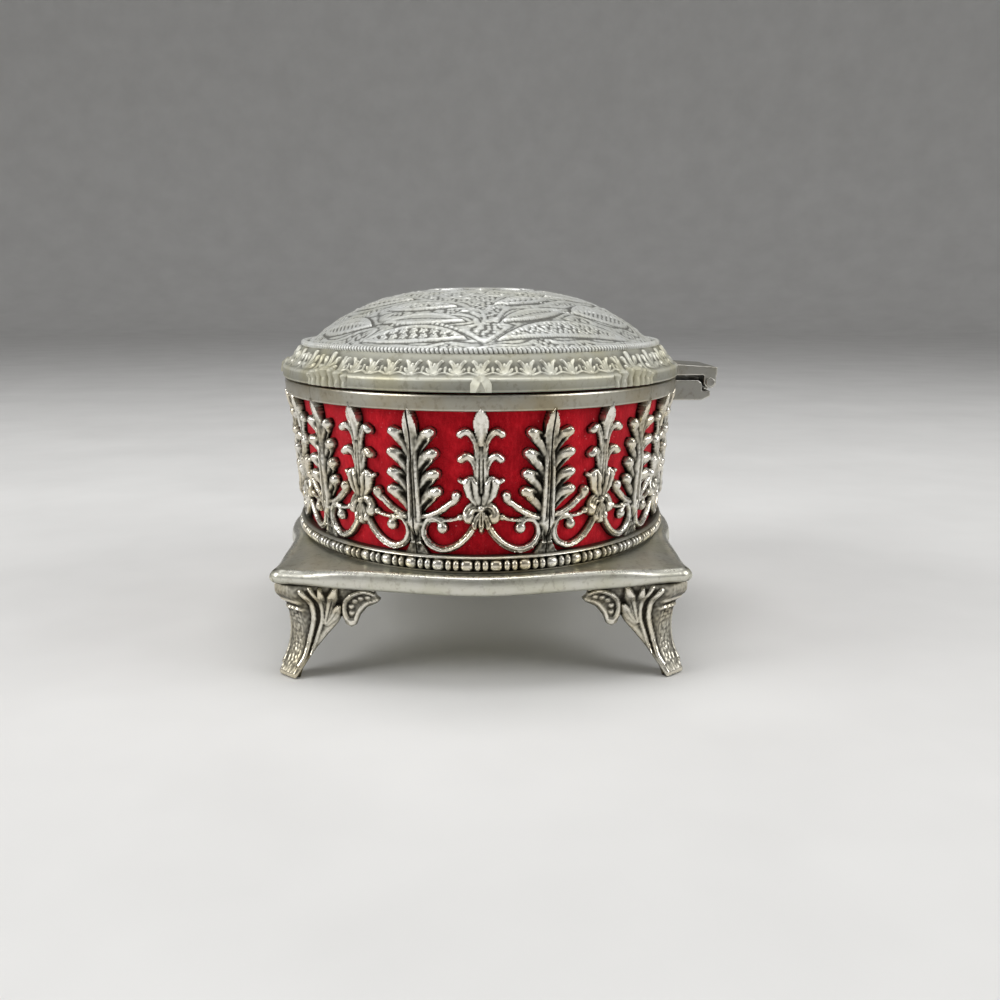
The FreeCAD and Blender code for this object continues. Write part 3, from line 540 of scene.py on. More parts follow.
def cast_metal(name, bright, plain, dark, tarnish, tarnish_share, gloss, metallic=1.0, from_shape=False):
    """Cast white metal: painted highlight and rubbed wear on high places, painted shade in creases, tarnish
    in soft patches.

    The painted light and wear come from the mesh's own per-point values or, for a CAD node, from its shape.
    """
    paint = Paint(name)
    if from_shape:
        # Painted shade in hollows and painted highlight on sharp edges, from the mesh's pointiness
        geometry = paint.nodes.new("ShaderNodeNewGeometry")
        light_and_wear = paint.ramp(geometry.outputs["Pointiness"], [(0.42, 0.2), (0.5, 0.5), (0.6, 1.0)])
    else:
        painted_light_and_wear = paint.nodes.new("ShaderNodeAttribute")
        painted_light_and_wear.attribute_name = "painted_light_and_wear"
        light_and_wear = painted_light_and_wear.outputs["Fac"]
    shade = tuple(CREASE_SHADE * c for c in plain)
    # Colour ramp: near black in deep creases and dimmed by CREASE_SHADE in shallow ones as painted shade, the
    # bright colour on high places as painted highlight with rubbed wear
    colour = paint.ramp(light_and_wear, [(0.0, dark), (0.25, shade), (0.5, plain), (0.92, bright)])
    tarnished = paint.patches(TARNISH_SIZE, 5, [(0.42, 0.0), (0.68, tarnish_share)])
    colour = paint.mix("MULTIPLY", tarnished, colour, tarnish)
    specks = paint.patches(SPECK_SIZE, 3, [(0.3, SPECK_COLOUR), (0.46, WHITE)])
    paint.set("Base Color", paint.mix("MULTIPLY", SPECK_SHARE, colour, specks))
    paint.set("Metallic", metallic)
    rough = paint.ramp(light_and_wear, [(0.1, gloss[0]), (0.5, gloss[1]), (0.95, gloss[2])])
    uneven = paint.patches(DULLING_SIZE, 4, [(0.3, 0.75), (0.7, 1.0)])
    paint.set("Roughness", paint.mix("MULTIPLY", DULLING_SHARE, rough, uneven))
    paint.bump(SKIN_SIZE, 5, SKIN_DEPTH)
    return paint.material


gallery_metal = cast_metal(
    "gallery_metal", bright=(0.87, 0.845, 0.77), plain=(0.47, 0.45, 0.38), dark=(0.018, 0.016, 0.012),
    tarnish=(0.82, 0.71, 0.5), tarnish_share=0.7, gloss=ANTIQUE_GLOSS)
lid_metal = cast_metal(
    "lid_metal", bright=(0.80, 0.81, 0.78), plain=(0.58, 0.59, 0.555), dark=(0.20, 0.198, 0.18),
    tarnish=(0.92, 0.90, 0.80), tarnish_share=0.6, gloss=MATTE_GLOSS, metallic=0.6)
border_metal = cast_metal(
    "border_metal", bright=(0.79, 0.785, 0.70), plain=(0.55, 0.545, 0.465), dark=(0.13, 0.125, 0.1),
    tarnish=(0.9, 0.85, 0.66), tarnish_share=0.7, gloss=MATTE_GLOSS, metallic=0.7)
plate_metal = cast_metal(
    "plate_metal", bright=(0.90, 0.885, 0.80), plain=(0.56, 0.555, 0.49), dark=(0.08, 0.08, 0.07),
    tarnish=(0.8, 0.8, 0.68), tarnish_share=0.7, gloss=PLATE_GLOSS)
foot_metal = cast_metal(
    "foot_metal", bright=(0.88, 0.845, 0.745), plain=(0.53, 0.505, 0.425), dark=(0.03, 0.026, 0.02),
    tarnish=(0.9, 0.82, 0.64), tarnish_share=0.7, gloss=ANTIQUE_GLOSS)
hinge_metal = cast_metal(
    "hinge_metal", bright=(0.86, 0.85, 0.79), plain=(0.46, 0.45, 0.41), dark=(0.06, 0.058, 0.05),
    tarnish=(0.84, 0.78, 0.62), tarnish_share=0.6, gloss=ANTIQUE_GLOSS)
steel = cast_metal(
    "steel", bright=(0.84, 0.84, 0.82), plain=(0.52, 0.51, 0.48), dark=(0.08, 0.08, 0.07),
    tarnish=(0.8, 0.78, 0.7), tarnish_share=0.4, gloss=ANTIQUE_GLOSS, from_shape=True)

# Velvet: feature sizes and depth in mm
PILE_SIZE = 0.6
PILE_STRETCH = (1, 1, 0.45)
PILE_COLOURS = [(0.3, (0.50, 0.004, 0.012)), (0.5, (0.61, 0.007, 0.017)), (0.72, (0.74, 0.018, 0.03))]
BRUSHED_SIZE = 6.0
LINT_SIZE = 0.5
LINT_FIELD = 7.0
LINT_COLOUR = (0.9, 0.5, 0.5)
NAP_SIZE = 0.22
NAP_DEPTH = 0.12
SHEEN_COLOUR = (1.0, 0.16, 0.2, 1)


def velvet_cloth():
    """Red velvet: pile streaks, brushed patches and a little pale lint."""
    paint = Paint("velvet")
    pile = paint.patches(PILE_SIZE, 5, PILE_COLOURS, PILE_STRETCH)
    brushed = paint.patches(BRUSHED_SIZE, 4, [(0.34, 0.7), (0.62, 1.0)])
    colour = paint.mix("MULTIPLY", 1.0, pile, brushed)
    lint = paint.patches(LINT_SIZE, 2, [(0.68, 0.0), (0.76, 0.6)])
    where = paint.patches(LINT_FIELD, 2, [(0.45, 0.0), (0.6, 1.0)])
    lint = paint.mix("MULTIPLY", 1.0, lint, where)
    paint.set("Base Color", paint.mix("MIX", lint, colour, LINT_COLOUR))
    paint.set("Roughness", 0.9)
    paint.set("Specular IOR Level", 0.1)
    paint.set("Sheen Weight", 0.8)
    paint.set("Sheen Roughness", 0.5)
    paint.set("Sheen Tint", SHEEN_COLOUR)
    paint.bump(NAP_SIZE, 3, NAP_DEPTH)
    return paint.material


velvet = velvet_cloth()

# Card: feature sizes and depth in mm
FIBRE_SIZE = 0.5
FIBRE_STRETCH = (1, 1, 4)
FIBRE_COLOURS = [(0.3, (0.30, 0.26, 0.21)), (0.7, (0.48, 0.43, 0.36))]
CARD_BUMP_SIZE = 0.3
CARD_BUMP_DEPTH = 0.05


def grey_card():
    paint = Paint("card")
    paint.set("Base Color", paint.patches(FIBRE_SIZE, 6, FIBRE_COLOURS, FIBRE_STRETCH))
    paint.set("Roughness", 0.9)
    paint.bump(CARD_BUMP_SIZE, 5, CARD_BUMP_DEPTH)
    return paint.material


card = grey_card()


# Openwork gallery: one fleuron in the middle and half a palmette at each side, repeated round the oval

GALLERY_CELL = 0.19
GALLERY_TOP = RIM_BOTTOM + 1.6
MOTIF_LOW = BEAD_TOP - 0.8

# How far round a place its painted light and wear are judged, and the height of the casting's lumps
LIGHT_AND_WEAR_REACH = 0.9
GALLERY_GRAIN = 0.09


def draw_fleuron(r):
    scroll = [(1.2, 6.0), (2.8, 3.7), (5.1, 1.8), (8.0, 0.95), (10.5, 1.8), (11.75, 3.6), (11.6, 5.4)]
    scroll += [(10.5, 6.75), (9.1, 6.95), (8.0, 6.2)]
    r.both(r.band, scroll, 1.65, 1.35, 0.8, 0.45)
    r.both(r.band, [(3.4, 7.7), (5.4, 7.0), (8.0, 6.7), (10.6, 6.6)], 0.95, 0.8, 0.6)
    for side in (1, -1):
        r.ball(side * 7.85, 5.2, 1.2, 1.1)
        r.ball(side * 4.2, 7.4, 0.75, 0.8)
    r.ribs(1.25, 1.0, 12.0, 22.6, 0.4, 0.4)
    upper_curl = [(0.7, 19.0), (0.95, 21.2), (1.7, 23.0), (2.9, 23.9), (3.85, 23.35)]
    r.both(r.leaf, upper_curl, 1.8, 0.6, 0.75, 0.2, CURL)
    lower_curl = [(0.7, 14.0), (1.0, 16.4), (1.6, 18.3), (2.8, 19.25), (3.75, 18.65)]
    r.both(r.leaf, lower_curl, 1.85, 0.6, 0.8, 0.2, CURL)
    r.spear(21.2, 25.6, 29.0, 1.6, 1.0)
    draw_tulip(r)
    r.both(r.leaf, [(0.4, 9.2), (1.5, 9.3), (2.3, 8.4), (2.6, 7.2)], 2.8, 1.0, 0.3, 0.35, PLUMP, 0.4)
    r.both(r.leaf, [(0.3, 8.3), (0.95, 7.3), (1.35, 6.2), (1.3, 5.5)], 1.45, 1.1, 0.3, 0.25, PLUMP)
    r.leaf([(0, 8.8), (0, 7.2), (0, 5.8), (0, 4.9)], 1.5, 1.25, 0.2, 0.4)
    r.ball(0, 4.75, 0.65, 0.9)
    r.ball(0, 9.2, 0.8, 1.3)


TULIP_FOOT = 9.6


def draw_tulip(r):
    """Cup of four petals with a notch in the middle, where the stem comes out."""
    away = np.abs(r.x)
    half = np.interp(r.y, (TULIP_FOOT, 10.3, 11.4, 12.8, 14.0, 15.2), (1.3, 1.9, 3.0, 3.5, 3.8, 4.0))
    top = np.interp(away, (0, 0.9, 1.8, 2.6, 3.2, 4.0, 4.8), (13.2, 14.4, 15.2, 15.0, 14.5, 14.8, 14.2))
    inside = np.minimum((half - away) * 0.8, np.minimum(top - r.y, r.y - TULIP_FOOT))
    petals = np.abs(np.sin(2 * math.pi * np.clip(away / half, 0, 1))) ** 0.6
    lift = 0.45 + 0.55 * smooth(10.5, 14.5, r.y)
    notch = smooth(0.9, 0.2, away) * smooth(11.0, 12.6, r.y)
    r.add(inside, r.low + 0.6 * dome_of(inside / 0.8) + 0.65 * petals * lift - 0.5 * notch)
    r.both(r.band, [(1.0, 14.2), (1.9, 15.0), (2.8, 14.7), (3.5, 14.3), (4.2, 14.6)], 1.15, 1.0, 0.75)


PALMETTE_TIPS = [(4.25, 23.6), (4.75, 19.6), (5.0, 15.7), (5.25, 12.3)]
PALMETTE_LEAF_RISE = 4.4
PALMETTE_FOOT_TOP = 7.4
STAR_Y = 2.0
BOSS_Y = 6.0


def draw_palmette(r, middle):
    """Stem with four pairs of leaves, on a foot with a small star, drawn round x = middle."""
    r.x = r.x - middle
    away = np.abs(r.x)
    edge = np.interp(r.y, (-1.0, 0.6, 2.4, 4.4, PALMETTE_FOOT_TOP), (3.6, 2.3, 1.2, 1.0, 1.6))
    inside = np.minimum(edge - away, PALMETTE_FOOT_TOP - r.y)
    off = np.abs(r.y - STAR_Y)
    star = np.exp(-np.minimum(away, off) / 0.25) * smooth(2.2, 0.5, away + off)
    r.add(inside, r.low + 0.4 + 0.6 * star + 0.35 * bell(inside, 0.35))
    r.both(r.band, [(0.8, 6.9), (3.2, 7.5), (5.6, 8.7), (7.4, 10.1)], 1.5, 1.35, 0.75, 0.35)
    r.both(r.leaf, [(6.0, 9.0), (7.3, 9.9), (8.3, 10.7), (8.6, 11.6)], 2.1, 0.85, 0.55, 0.0, CURL)
    r.both(r.leaf, [(0.8, 6.2), (3.4, 6.6), (5.6, 7.1)], 1.0, 0.5, 0.1, 0.1)
    for tip_x, tip_y in PALMETTE_TIPS:
        root = tip_y - PALMETTE_LEAF_RISE
        spine = [(0.6, root), (tip_x * 0.36, root + 0.48 * PALMETTE_LEAF_RISE)]
        spine += [(tip_x * 0.72, root + 0.86 * PALMETTE_LEAF_RISE), (tip_x - 0.3, tip_y)]
        r.both(r.leaf, spine, 2.8, 0.65, 0.85, 0.0, PLUMP, 0.7)
    r.ribs(1.6, 1.05, 5.6, 21.5, 0.8, 0.5)
    r.spear(17.0, 24.8, 29.2, 1.5, 1.15)
    inside = 2.1 - away - np.abs(r.y - BOSS_Y) * 0.75
    r.add(inside, r.low + 0.6 + 0.8 * np.clip(inside / 1.2, 0, 1))
    r.x = r.x + middle


def gallery_relief():
    xs = np.linspace(-DRAWN_PITCH, DRAWN_PITCH, int(2 * DRAWN_PITCH / GALLERY_CELL) | 1)
    ys = np.arange(MOTIF_LOW - BEAD_TOP, GALLERY_TOP - BEAD_TOP, GALLERY_CELL)
    relief = Relief(xs, ys)
    draw_fleuron(relief)
    for side in (1, -1):
        draw_palmette(relief, side * DRAWN_PITCH)
    return relief


# Middle, half length and squareness of the beads in one period
BEADS = [(0.0, 1.32, 3.0), (-2.12, 0.74, 2.2), (2.12, 0.74, 2.2)]
BEAD_PERIODS = 56
BEAD_RADIUS = 1.15
BEAD_STRING = 0.4
BEAD_SIDES = 11
BEAD_WRAP = math.pi * 0.62
BEAD_LINE_Z = PLATE_TOP + 0.3 + BEAD_RADIUS
BEAD_LINE_IN = 0.75

# Inward place, height, and painted light and wear of the corners of the rim and of the ring behind the beads:
# painted highlight on the rim's top edge and the ring's rounded lip, painted shade under the rim and on the
# ring behind the beads
RIM_PROFILE = [
    (RIM_THICKNESS, RIM_BOTTOM, 0.2), (0.3, RIM_BOTTOM, 0.3), (0.05, RIM_BOTTOM + 0.2, 0.62),
    (0.0, RIM_BOTTOM + 0.5, 0.42), (0.0, RIM_TOP - 0.5, 0.46), (0.08, RIM_TOP - 0.15, 0.8),
    (0.3, RIM_TOP, 0.6), (RIM_THICKNESS, RIM_TOP, 0.4),
]
RING_PROFILE = [
    (GALLERY_BACK, PLATE_TOP, 0.2), (0.3, PLATE_TOP, 0.3), (0.25, PLATE_TOP + 0.3, 0.4),
    (1.0, PLATE_TOP + 0.5, 0.05), (1.0, BEAD_TOP - 0.8, 0.05), (0.35, BEAD_TOP - 0.65, 0.5),
    (0.15, BEAD_TOP - 0.4, 0.85), (0.35, BEAD_TOP - 0.1, 0.6), (0.8, BEAD_TOP, 0.2),
    (GALLERY_BACK, BEAD_TOP, 0.1),
]

# Each panel's node and the motif in its middle, and motifs from there to a panel's end
PANELS = [("gallery_right_end", 0), ("gallery_back", 6), ("gallery_left_end", 12), ("gallery_front", 18)]
PANEL_REACH = 3
PANEL_COLUMNS = 560


def bead_radius(s):
    """Bead and reel: a long bead and two round ones in each period."""
    period = WALL.length / BEAD_PERIODS
    x = np.mod(s, period) - period / 2
    shapes = [BEAD_RADIUS * np.clip(1 - np.abs((x - c) / w) ** p, 0, 1) ** 0.5 for c, w, p in BEADS]
    return np.maximum.reduce(shapes + [np.full(s.shape, BEAD_STRING)])


def sweep(shape, s, profile):
    """Closed band with flat ends along a stretch of the wall, from (inward, height, painted light and wear)
    corners.
    """
    points = np.stack([on_wall(s, z, inward) for inward, z, _ in profile])
    light_and_wear = np.array([bright for _, _, bright in profile])
    shape.grid(points, np.repeat(light_and_wear[:, None], len(s), 1), across=True)
    for end, flip in ((0, False), (-1, True)):
        shape.cap(points[:, end], flip)


def gallery_panel(node, middle, relief, light_and_wear):
    shape = Shape()
    # The drawing is two motifs wide, so three of them fill a panel
    for step in (-2, 0, 2):
        centre = (middle + step) * PITCH

        def place(x, y, h):
            return on_wall(centre + x * PITCH / DRAWN_PITCH, BEAD_TOP + y, GALLERY_BACK - h)

        relief_shell(shape, relief, place, light_and_wear)
    gap = SEAM_GAP / 2
    start, stop = (middle - PANEL_REACH) * PITCH + gap, (middle + PANEL_REACH) * PITCH - gap
    s = np.linspace(start, stop, PANEL_COLUMNS)
    sweep(shape, s, RIM_PROFILE)
    sweep(shape, s, RING_PROFILE)
    turn = np.linspace(-BEAD_WRAP, BEAD_WRAP, BEAD_SIDES)[:, None]
    radius = bead_radius(s)[None, :]
    z = BEAD_LINE_Z + radius * np.sin(turn)
    inward = BEAD_LINE_IN - radius * np.cos(turn)
    # Painted highlight on the front of each bead, fading to painted shade towards its top and bottom and on
    # the string between beads
    bright = smooth(BEAD_STRING, 1.1, radius) * (0.35 + 0.5 * np.cos(turn))
    shape.grid(on_wall(np.broadcast_to(s, z.shape), z, inward), bright)
    shape.make(node + "_openwork", "casket", gallery_metal, node)


def build_gallery():
    relief = gallery_relief()
    relief.height += cast_grain(relief.x, relief.y, GALLERY_GRAIN)
    # Painted shade in the openwork's creases and painted highlight on its high places, with rubbed wear
    light_and_wear = relief.painted_light_and_wear(LIGHT_AND_WEAR_REACH)
    for node, middle in PANELS:
        gallery_panel(node, middle, relief, light_and_wear)


build_gallery()


# Lid

LID_CELL = 0.27
LID_WALL = 1.6
LID_RIM = 1.3
DOME_INSET = 1.2
DOME_A = RIM_A - ROPE_INSET - DOME_INSET
DOME_B = RIM_B - ROPE_INSET - DOME_INSET
LID = Oval(RIM_A + LID_OVERHANG, RIM_B + LID_OVERHANG)


def on_lid(s, inset, z):
    """Frame points at lengths along the lid's edge, inset from the rim's outer edge."""
    return LID.place(s, -np.asarray(inset) - LID_OVERHANG, z)


def draw_anthemion(r, pitch):
    """Small open palmette with an arch and a bud between each two, on flat ground."""
    r.leaf([(0, 1.2), (0, 2.2), (0, 3.2)], 0.75, 0.36, 0.15, 0.12, PLUMP)
    r.both(r.leaf, [(0.2, 0.9), (0.5, 2.1), (0.85, 3.2), (1.5, 3.9)], 0.75, 0.38, 0.25, 0.1, PLUMP)
    r.both(r.leaf, [(0.4, 0.9), (0.9, 1.5), (1.45, 2.2)], 0.6, 0.34, 0.2, 0.1, PLUMP)
    r.ball(0, 0.9, 0.5, 0.45)
    for side in (1, -1):
        x = side * pitch / 2
        r.band([(0.6 * side, 0.6), (x * 0.72, 1.15), (x, 1.3)], 0.42, 0.42, 0.36)
        r.leaf([(x, 1.5), (x, 2.1), (x, 2.6)], 0.55, 0.34, 0.1, 0.0, PLUMP)


def draw_acanthus(r, pitch):
    """Broad lobed leaf for the long sides of the border."""
    r.leaf([(0, 0.2), (0, 2.4), (0, 4.6)], 1.7, 0.45, 0.25, 0.3, PLUMP)
    for base, reach, tip_y in ((0.5, 2.9, 1.6), (1.6, 2.5, 3.6)):
        r.both(r.leaf, [(0.4, base), (1.4, base + 0.5), (reach, tip_y)], 1.4, 0.42, 0.25, 0.2, PLUMP, 0.2)
    for x in (pitch / 2, -pitch / 2):
        r.leaf([(x, 0.4), (x, 2.2), (x, 4.0)], 1.1, 0.4, 0.25, 0.2, PLUMP)


BORDER_PITCH = LID.length / 72
BORDER_DRAWINGS = ((BORDER_PITCH, draw_anthemion), (2 * BORDER_PITCH, draw_acanthus))
BORDER_RELIEF = 0.75
DRAWING_COLUMNS = 41
BORDER_COLUMNS = 1700

# Inset and height of the hollow that carries the border
COVE = [(0.3, LEDGE_Z), (1.5, LEDGE_Z + 0.75), (2.8, LEDGE_Z + 2.4), (4.1, LEDGE_Z + 4.1)]

# Inset, height, and painted light and wear of the lid's outer edge below the border and of its inside: a
# painted highlight on the ledge's rounded nose, darker on the upright band
LID_EDGE = [
    (0.0, LID_BOTTOM, 0.25), (-LID_OVERHANG, LID_BOTTOM + 0.25, 0.5), (-LID_OVERHANG, LID_BOTTOM + 0.6, 0.34),
    (-LID_OVERHANG, LEDGE_Z - 0.75, 0.4), (-0.2, LEDGE_Z - 0.3, 0.8), (0.05, LEDGE_Z - 0.1, 0.6),
]
LID_INSIDE = [
    (5.6, LEDGE_Z + 4.1, 0.5), (5.9, ROPE_Z - LID_WALL, 0.5), (LID_RIM, LID_BOTTOM + 1.6, 0.5),
    (LID_RIM, LID_BOTTOM, 0.5),
]


def border_heights(s, v):
    """Relief of the lid's border: small palmettes at the ends, broad leaves along the front and the back."""
    angle = np.interp(np.mod(s, LID.length), LID.arc, LID.angles)
    broad = smooth(0.60, 0.66, np.abs(np.sin(angle)))[None, :]
    layers = []
    for pitch, draw in BORDER_DRAWINGS:
        xs = np.linspace(-pitch / 2, pitch / 2, DRAWING_COLUMNS)
        relief = Relief(xs, v, low=0.0)
        draw(relief, pitch)
        local = np.mod(s + pitch / 2, pitch) - pitch / 2
        layers.append(np.stack([np.interp(local, xs, row) for row in relief.height]))
    return layers[0] * (1 - broad) + layers[1] * broad


def lid_border():
    s = LID.even(BORDER_COLUMNS)
    cove = curve(COVE, 12)
    steps = lengths_along(cove)
    along = unit(np.gradient(cove, axis=0))
    heights = border_heights(s, steps)
    fade = smooth(0, 1.0, steps) * smooth(steps[-1], steps[-1] - 0.3, steps)
    heights *= BORDER_RELIEF * fade[:, None]
    inset = cove[:, :1] - along[:, 1:] * heights
    z = cove[:, 1:] + along[:, :1] * heights
    # Painted highlight on the border's high relief and painted shade in its hollows
    light_and_wear = np.clip(0.5 + 2.2 * (heights - blur(heights, 5)), 0, 1)
    profile = LID_EDGE + list(zip(inset, z, light_and_wear)) + LID_INSIDE
    shape = Shape()
    points = np.stack([on_lid(s, row_inset, row_z) for row_inset, row_z, _ in profile])
    bright = np.stack([np.broadcast_to(row_light_and_wear, s.shape) for _, _, row_light_and_wear in profile])
    shape.grid(points, bright, around=True, across=True)
    shape.make("lid_border", "lid", border_metal)


ROPE_COLUMNS = 2600
ROPE_SIDES = 10
ROPE_SEAT = 0.2


def lid_rope():
    """Twisted rope ring between border and dome."""
    line = Oval(RIM_A - ROPE_INSET - ROPE_SEAT, RIM_B - ROPE_INSET - ROPE_SEAT)
    s = line.even(ROPE_COLUMNS)[None, :]
    turn = turns(ROPE_SIDES)[:, None]
    twists = round(line.length / ROPE_PITCH)
    strand = np.abs(np.cos(math.pi * twists * s / line.length + turn / 2))
    radius = ROPE_RADIUS * (0.6 + 0.4 * strand ** 0.6)
    z = ROPE_Z + radius * np.sin(turn)
    points = line.place(np.broadcast_to(s, radius.shape), radius * np.cos(turn), z)
    shape = Shape()
    # Painted highlight on the strands' crests and painted shade in the grooves of the twist
    shape.grid(points, 0.9 * smooth(0.1, 0.75, strand), around=True, across=True)
    shape.make("lid_rope", "lid", lid_metal)


# Stippling: cells of the net before it repeats, then shares of its spacing
PEBBLE_NET = 400
PEBBLE_JITTER = 0.32
PEBBLE_RADIUS = 0.48
LEAF_SEED = 5
GROUND_SEED = 7
FLOWER_SEED = 9
FOOT_SEED = 3


def pebbles(x, y, spacing, seed):
    """Stippled ground: small round bumps on a jittered net."""
    rng = np.random.default_rng(seed)
    jitter = rng.uniform(-PEBBLE_JITTER, PEBBLE_JITTER, (PEBBLE_NET, PEBBLE_NET, 2))
    ix, iy = np.floor(x / spacing).astype(int), np.floor(y / spacing).astype(int)
    best = np.full(x.shape, FAR)
    for dx in (-1, 0, 1):
        for dy in (-1, 0, 1):
            cx, cy = ix + dx, iy + dy
            shift = jitter[np.mod(cx, PEBBLE_NET), np.mod(cy, PEBBLE_NET)]
            px, py = (cx + 0.5 + shift[..., 0]) * spacing, (cy + 0.5 + shift[..., 1]) * spacing
            best = np.minimum(best, np.hypot(x - px, y - py) / spacing)
    return np.sqrt(np.clip(1 - (best / PEBBLE_RADIUS) ** 2, 0, 1))


# Raised ornament of the dome as in the solid: leaves of one end, in shares of its half length and width
RELIEF_RISE = 0.6
DOME_LEAVES = [
    ((0.81, 0.10), (0.60, 0.425), 4.2, "smooth"),
    ((0.58, 0.47), (0.31, 0.81), 8.0, "feather"),
    ((0.935, 0.075), (0.59, 0.77), 5.4, "stipple"),
    ((0.925, -0.065), (0.75, -0.595), 5.6, "florets"),
    ((0.81, -0.075), (0.67, -0.495), 4.4, "smooth"),
    ((0.65, -0.555), (0.365, -0.85), 5.5, "feather"),
    ((0.67, -0.115), (0.545, -0.48), 4.2, "stipple"),
    ((0.465, -0.355), (0.25, -0.695), 5.2, "feather"),
    ((0.65, 0.065), (0.47, 0.355), 4.4, "feather"),
    ((0.40, 0.34), (0.18, 0.645), 5.0, "smooth"),
]
PETALS = 8
PETAL_START = 0.14
PETAL_END = 0.32
PETAL_WIDTH = 5.5
FLOWER_MIDDLE = 0.11
FEATHER_PITCH = 1.25

# Low scrolls, by points in shares, then rows of beads: start, end, bow and size of a bead
DOME_SCROLLS = [
    [(-0.20, 0.74), (-0.07, 0.86), (0.08, 0.88), (0.18, 0.80), (0.16, 0.71), (0.09, 0.72)],
    [(0.36, 0.06), (0.42, 0.17), (0.50, 0.13), (0.49, 0.02), (0.43, 0.0)],
    [(0.36, -0.09), (0.43, -0.21), (0.52, -0.17), (0.51, -0.08), (0.46, -0.05)],
    [(0.30, -0.30), (0.20, -0.45), (0.07, -0.50), (-0.02, -0.42), (0.03, -0.36)],
    [(0.02, 0.40), (0.10, 0.55), (0.06, 0.68), (-0.04, 0.66), (-0.03, 0.57)],
    [(0.88, -0.02), (0.80, 0.02), (0.72, 0.0), (0.70, -0.05)],
]
SCROLL_WIDTH = 1.25
SCROLL_LEAVES = 5
# Steps ahead and out of a scroll's small leaf, as shares of the scroll's width
SCROLL_LEAF = [(0, 0), (0.7, 0.9), (1.9, 1.7)]
DOME_BEADS = [
    ((0.85, 0.07), (0.50, 0.70), 2.2, 0.5),
    ((0.70, 0.05), (0.50, 0.45), 1.2, 0.42),
    ((0.87, -0.10), (0.70, -0.56), -1.5, 0.5),
    ((0.52, -0.52), (0.28, -0.86), 0.6, 0.45),
]
BEAD_RISE = 0.42

# Ground between the leaves: lines that echo the leaves' outlines, and a stippled field further away
STRAND_PITCH = 1.35
STRAND_SOFTNESS = 1.1
WANDER = 0.9


def dome_point(share_x, share_y):
    return np.array([DOME_A * share_x, DOME_B * share_y])


def florets(x, y, spacing):
    """Net of small round flowers."""
    row = np.floor(y / spacing)
    px = (np.floor(x / spacing + 0.5 * np.mod(row, 2)) + 0.5 - 0.5 * np.mod(row, 2)) * spacing
    py = (row + 0.5) * spacing
    away = np.hypot(x - px, y - py) / spacing
    angle = np.arctan2(y - py, x - px)
    petals = 0.36 + 0.11 * np.cos(5 * angle)
    ring = smooth(petals + 0.06, petals - 0.1, away) * smooth(0.08, 0.26, away)
    return np.maximum(ring, smooth(0.16, 0.06, away))


def dome_leaf(r, start, end, width, kind):
    """Raised leaf of two arcs with its own filling."""
    root, tip = dome_point(*start), dome_point(*end)
    length = np.linalg.norm(tip - root)
    ahead = (tip - root) / length
    along = (r.x - root[0]) * ahead[0] + (r.y - root[1]) * ahead[1]
    off = (r.y - root[1]) * ahead[0] - (r.x - root[0]) * ahead[1]
    radius = (length ** 2 / 4 + (width / 2) ** 2) / width
    inside = radius - np.hypot(along - length / 2, np.abs(off) + radius - width / 2)
    edge = RELIEF_RISE * dome_of(inside / 0.45)
    border = bell(inside - 0.4, 0.22)
    deep = smooth(0.5, 1.0, inside)
    if kind == "feather":
        wave = np.abs(np.sin(math.pi * (along * 0.8 + np.abs(off) * 1.1) / FEATHER_PITCH)) ** 0.7
        filling = 0.42 * (1 - wave) - 0.25 * bell(off, 0.3)
    elif kind == "stipple":
        filling = 0.3 * (1 - pebbles(r.x, r.y, 0.95, LEAF_SEED))
    elif kind == "florets":
        filling = 0.4 * (1 - florets(r.x, r.y, 2.0))
    else:
        filling = 0.22 + 0.22 * bell(off, 0.2)
    r.add(inside, edge - deep * (1 - border) * filling)
    r.nearness += np.exp(inside / STRAND_SOFTNESS)


def bead_row(r, start, end, bow, size):
    """Row of beads on a shallow arc."""
    root, tip = dome_point(*start), dome_point(*end)
    across = unit(np.array([root[1] - tip[1], tip[0] - root[0]]))
    count = int(np.linalg.norm(tip - root) / (2.1 * size))
    for share in np.linspace(0, 1, count):
        x, y = root + (tip - root) * share + across * bow * 4 * share * (1 - share)
        r.ball(x, y, size, BEAD_RISE)


def dome_scroll(r, points, width):
    """Low scrolling stem that ends in a bead, with small leaves along both sides."""
    path = curve(points, 10)
    r.band(points, width, width * 0.7, 0.4, 0.12)
    r.ball(*path[-1], width * 0.75, 0.5)
    for leaf in range(1, SCROLL_LEAVES + 1):
        at = int(leaf / (SCROLL_LEAVES + 1.5) * (len(path) - 2))
        ahead = unit(path[at + 1] - path[at])
        out = np.array([-ahead[1], ahead[0]]) * (1 if leaf % 2 else -1)
        spine = [path[at] + (a * ahead + b * out) * width for a, b in SCROLL_LEAF]
        r.leaf(spine, 1.2 * width, 0.38, 0.1, 0.15, PLUMP)


def draw_dome(r):
    """One end of the dome's ornament. The other end is the same, half a turn round."""
    for start, end, width, kind in DOME_LEAVES:
        dome_leaf(r, start, end, width, kind)
    for petal in range(PETALS):
        angle = 2 * math.pi * petal / PETALS
        direction = np.array([math.cos(angle), math.sin(angle)])
        dome_leaf(r, direction * PETAL_START, direction * PETAL_END, PETAL_WIDTH, "smooth")
    middle = (1 - np.hypot(r.x / DOME_A, r.y / DOME_B) / FLOWER_MIDDLE) * FLOWER_MIDDLE * DOME_B
    stippled = 0.25 * smooth(0.7, 1.2, middle) * (1 - pebbles(r.x, r.y, 1.1, FLOWER_SEED))
    r.add(middle, RELIEF_RISE * dome_of(middle / 0.5) - stippled)
    r.nearness += np.exp(middle / STRAND_SOFTNESS)
    for start, end, bow, size in DOME_BEADS:
        bead_row(r, start, end, bow, size)
    for points in DOME_SCROLLS:
        dome_scroll(r, [dome_point(*point) for point in points], SCROLL_WIDTH)


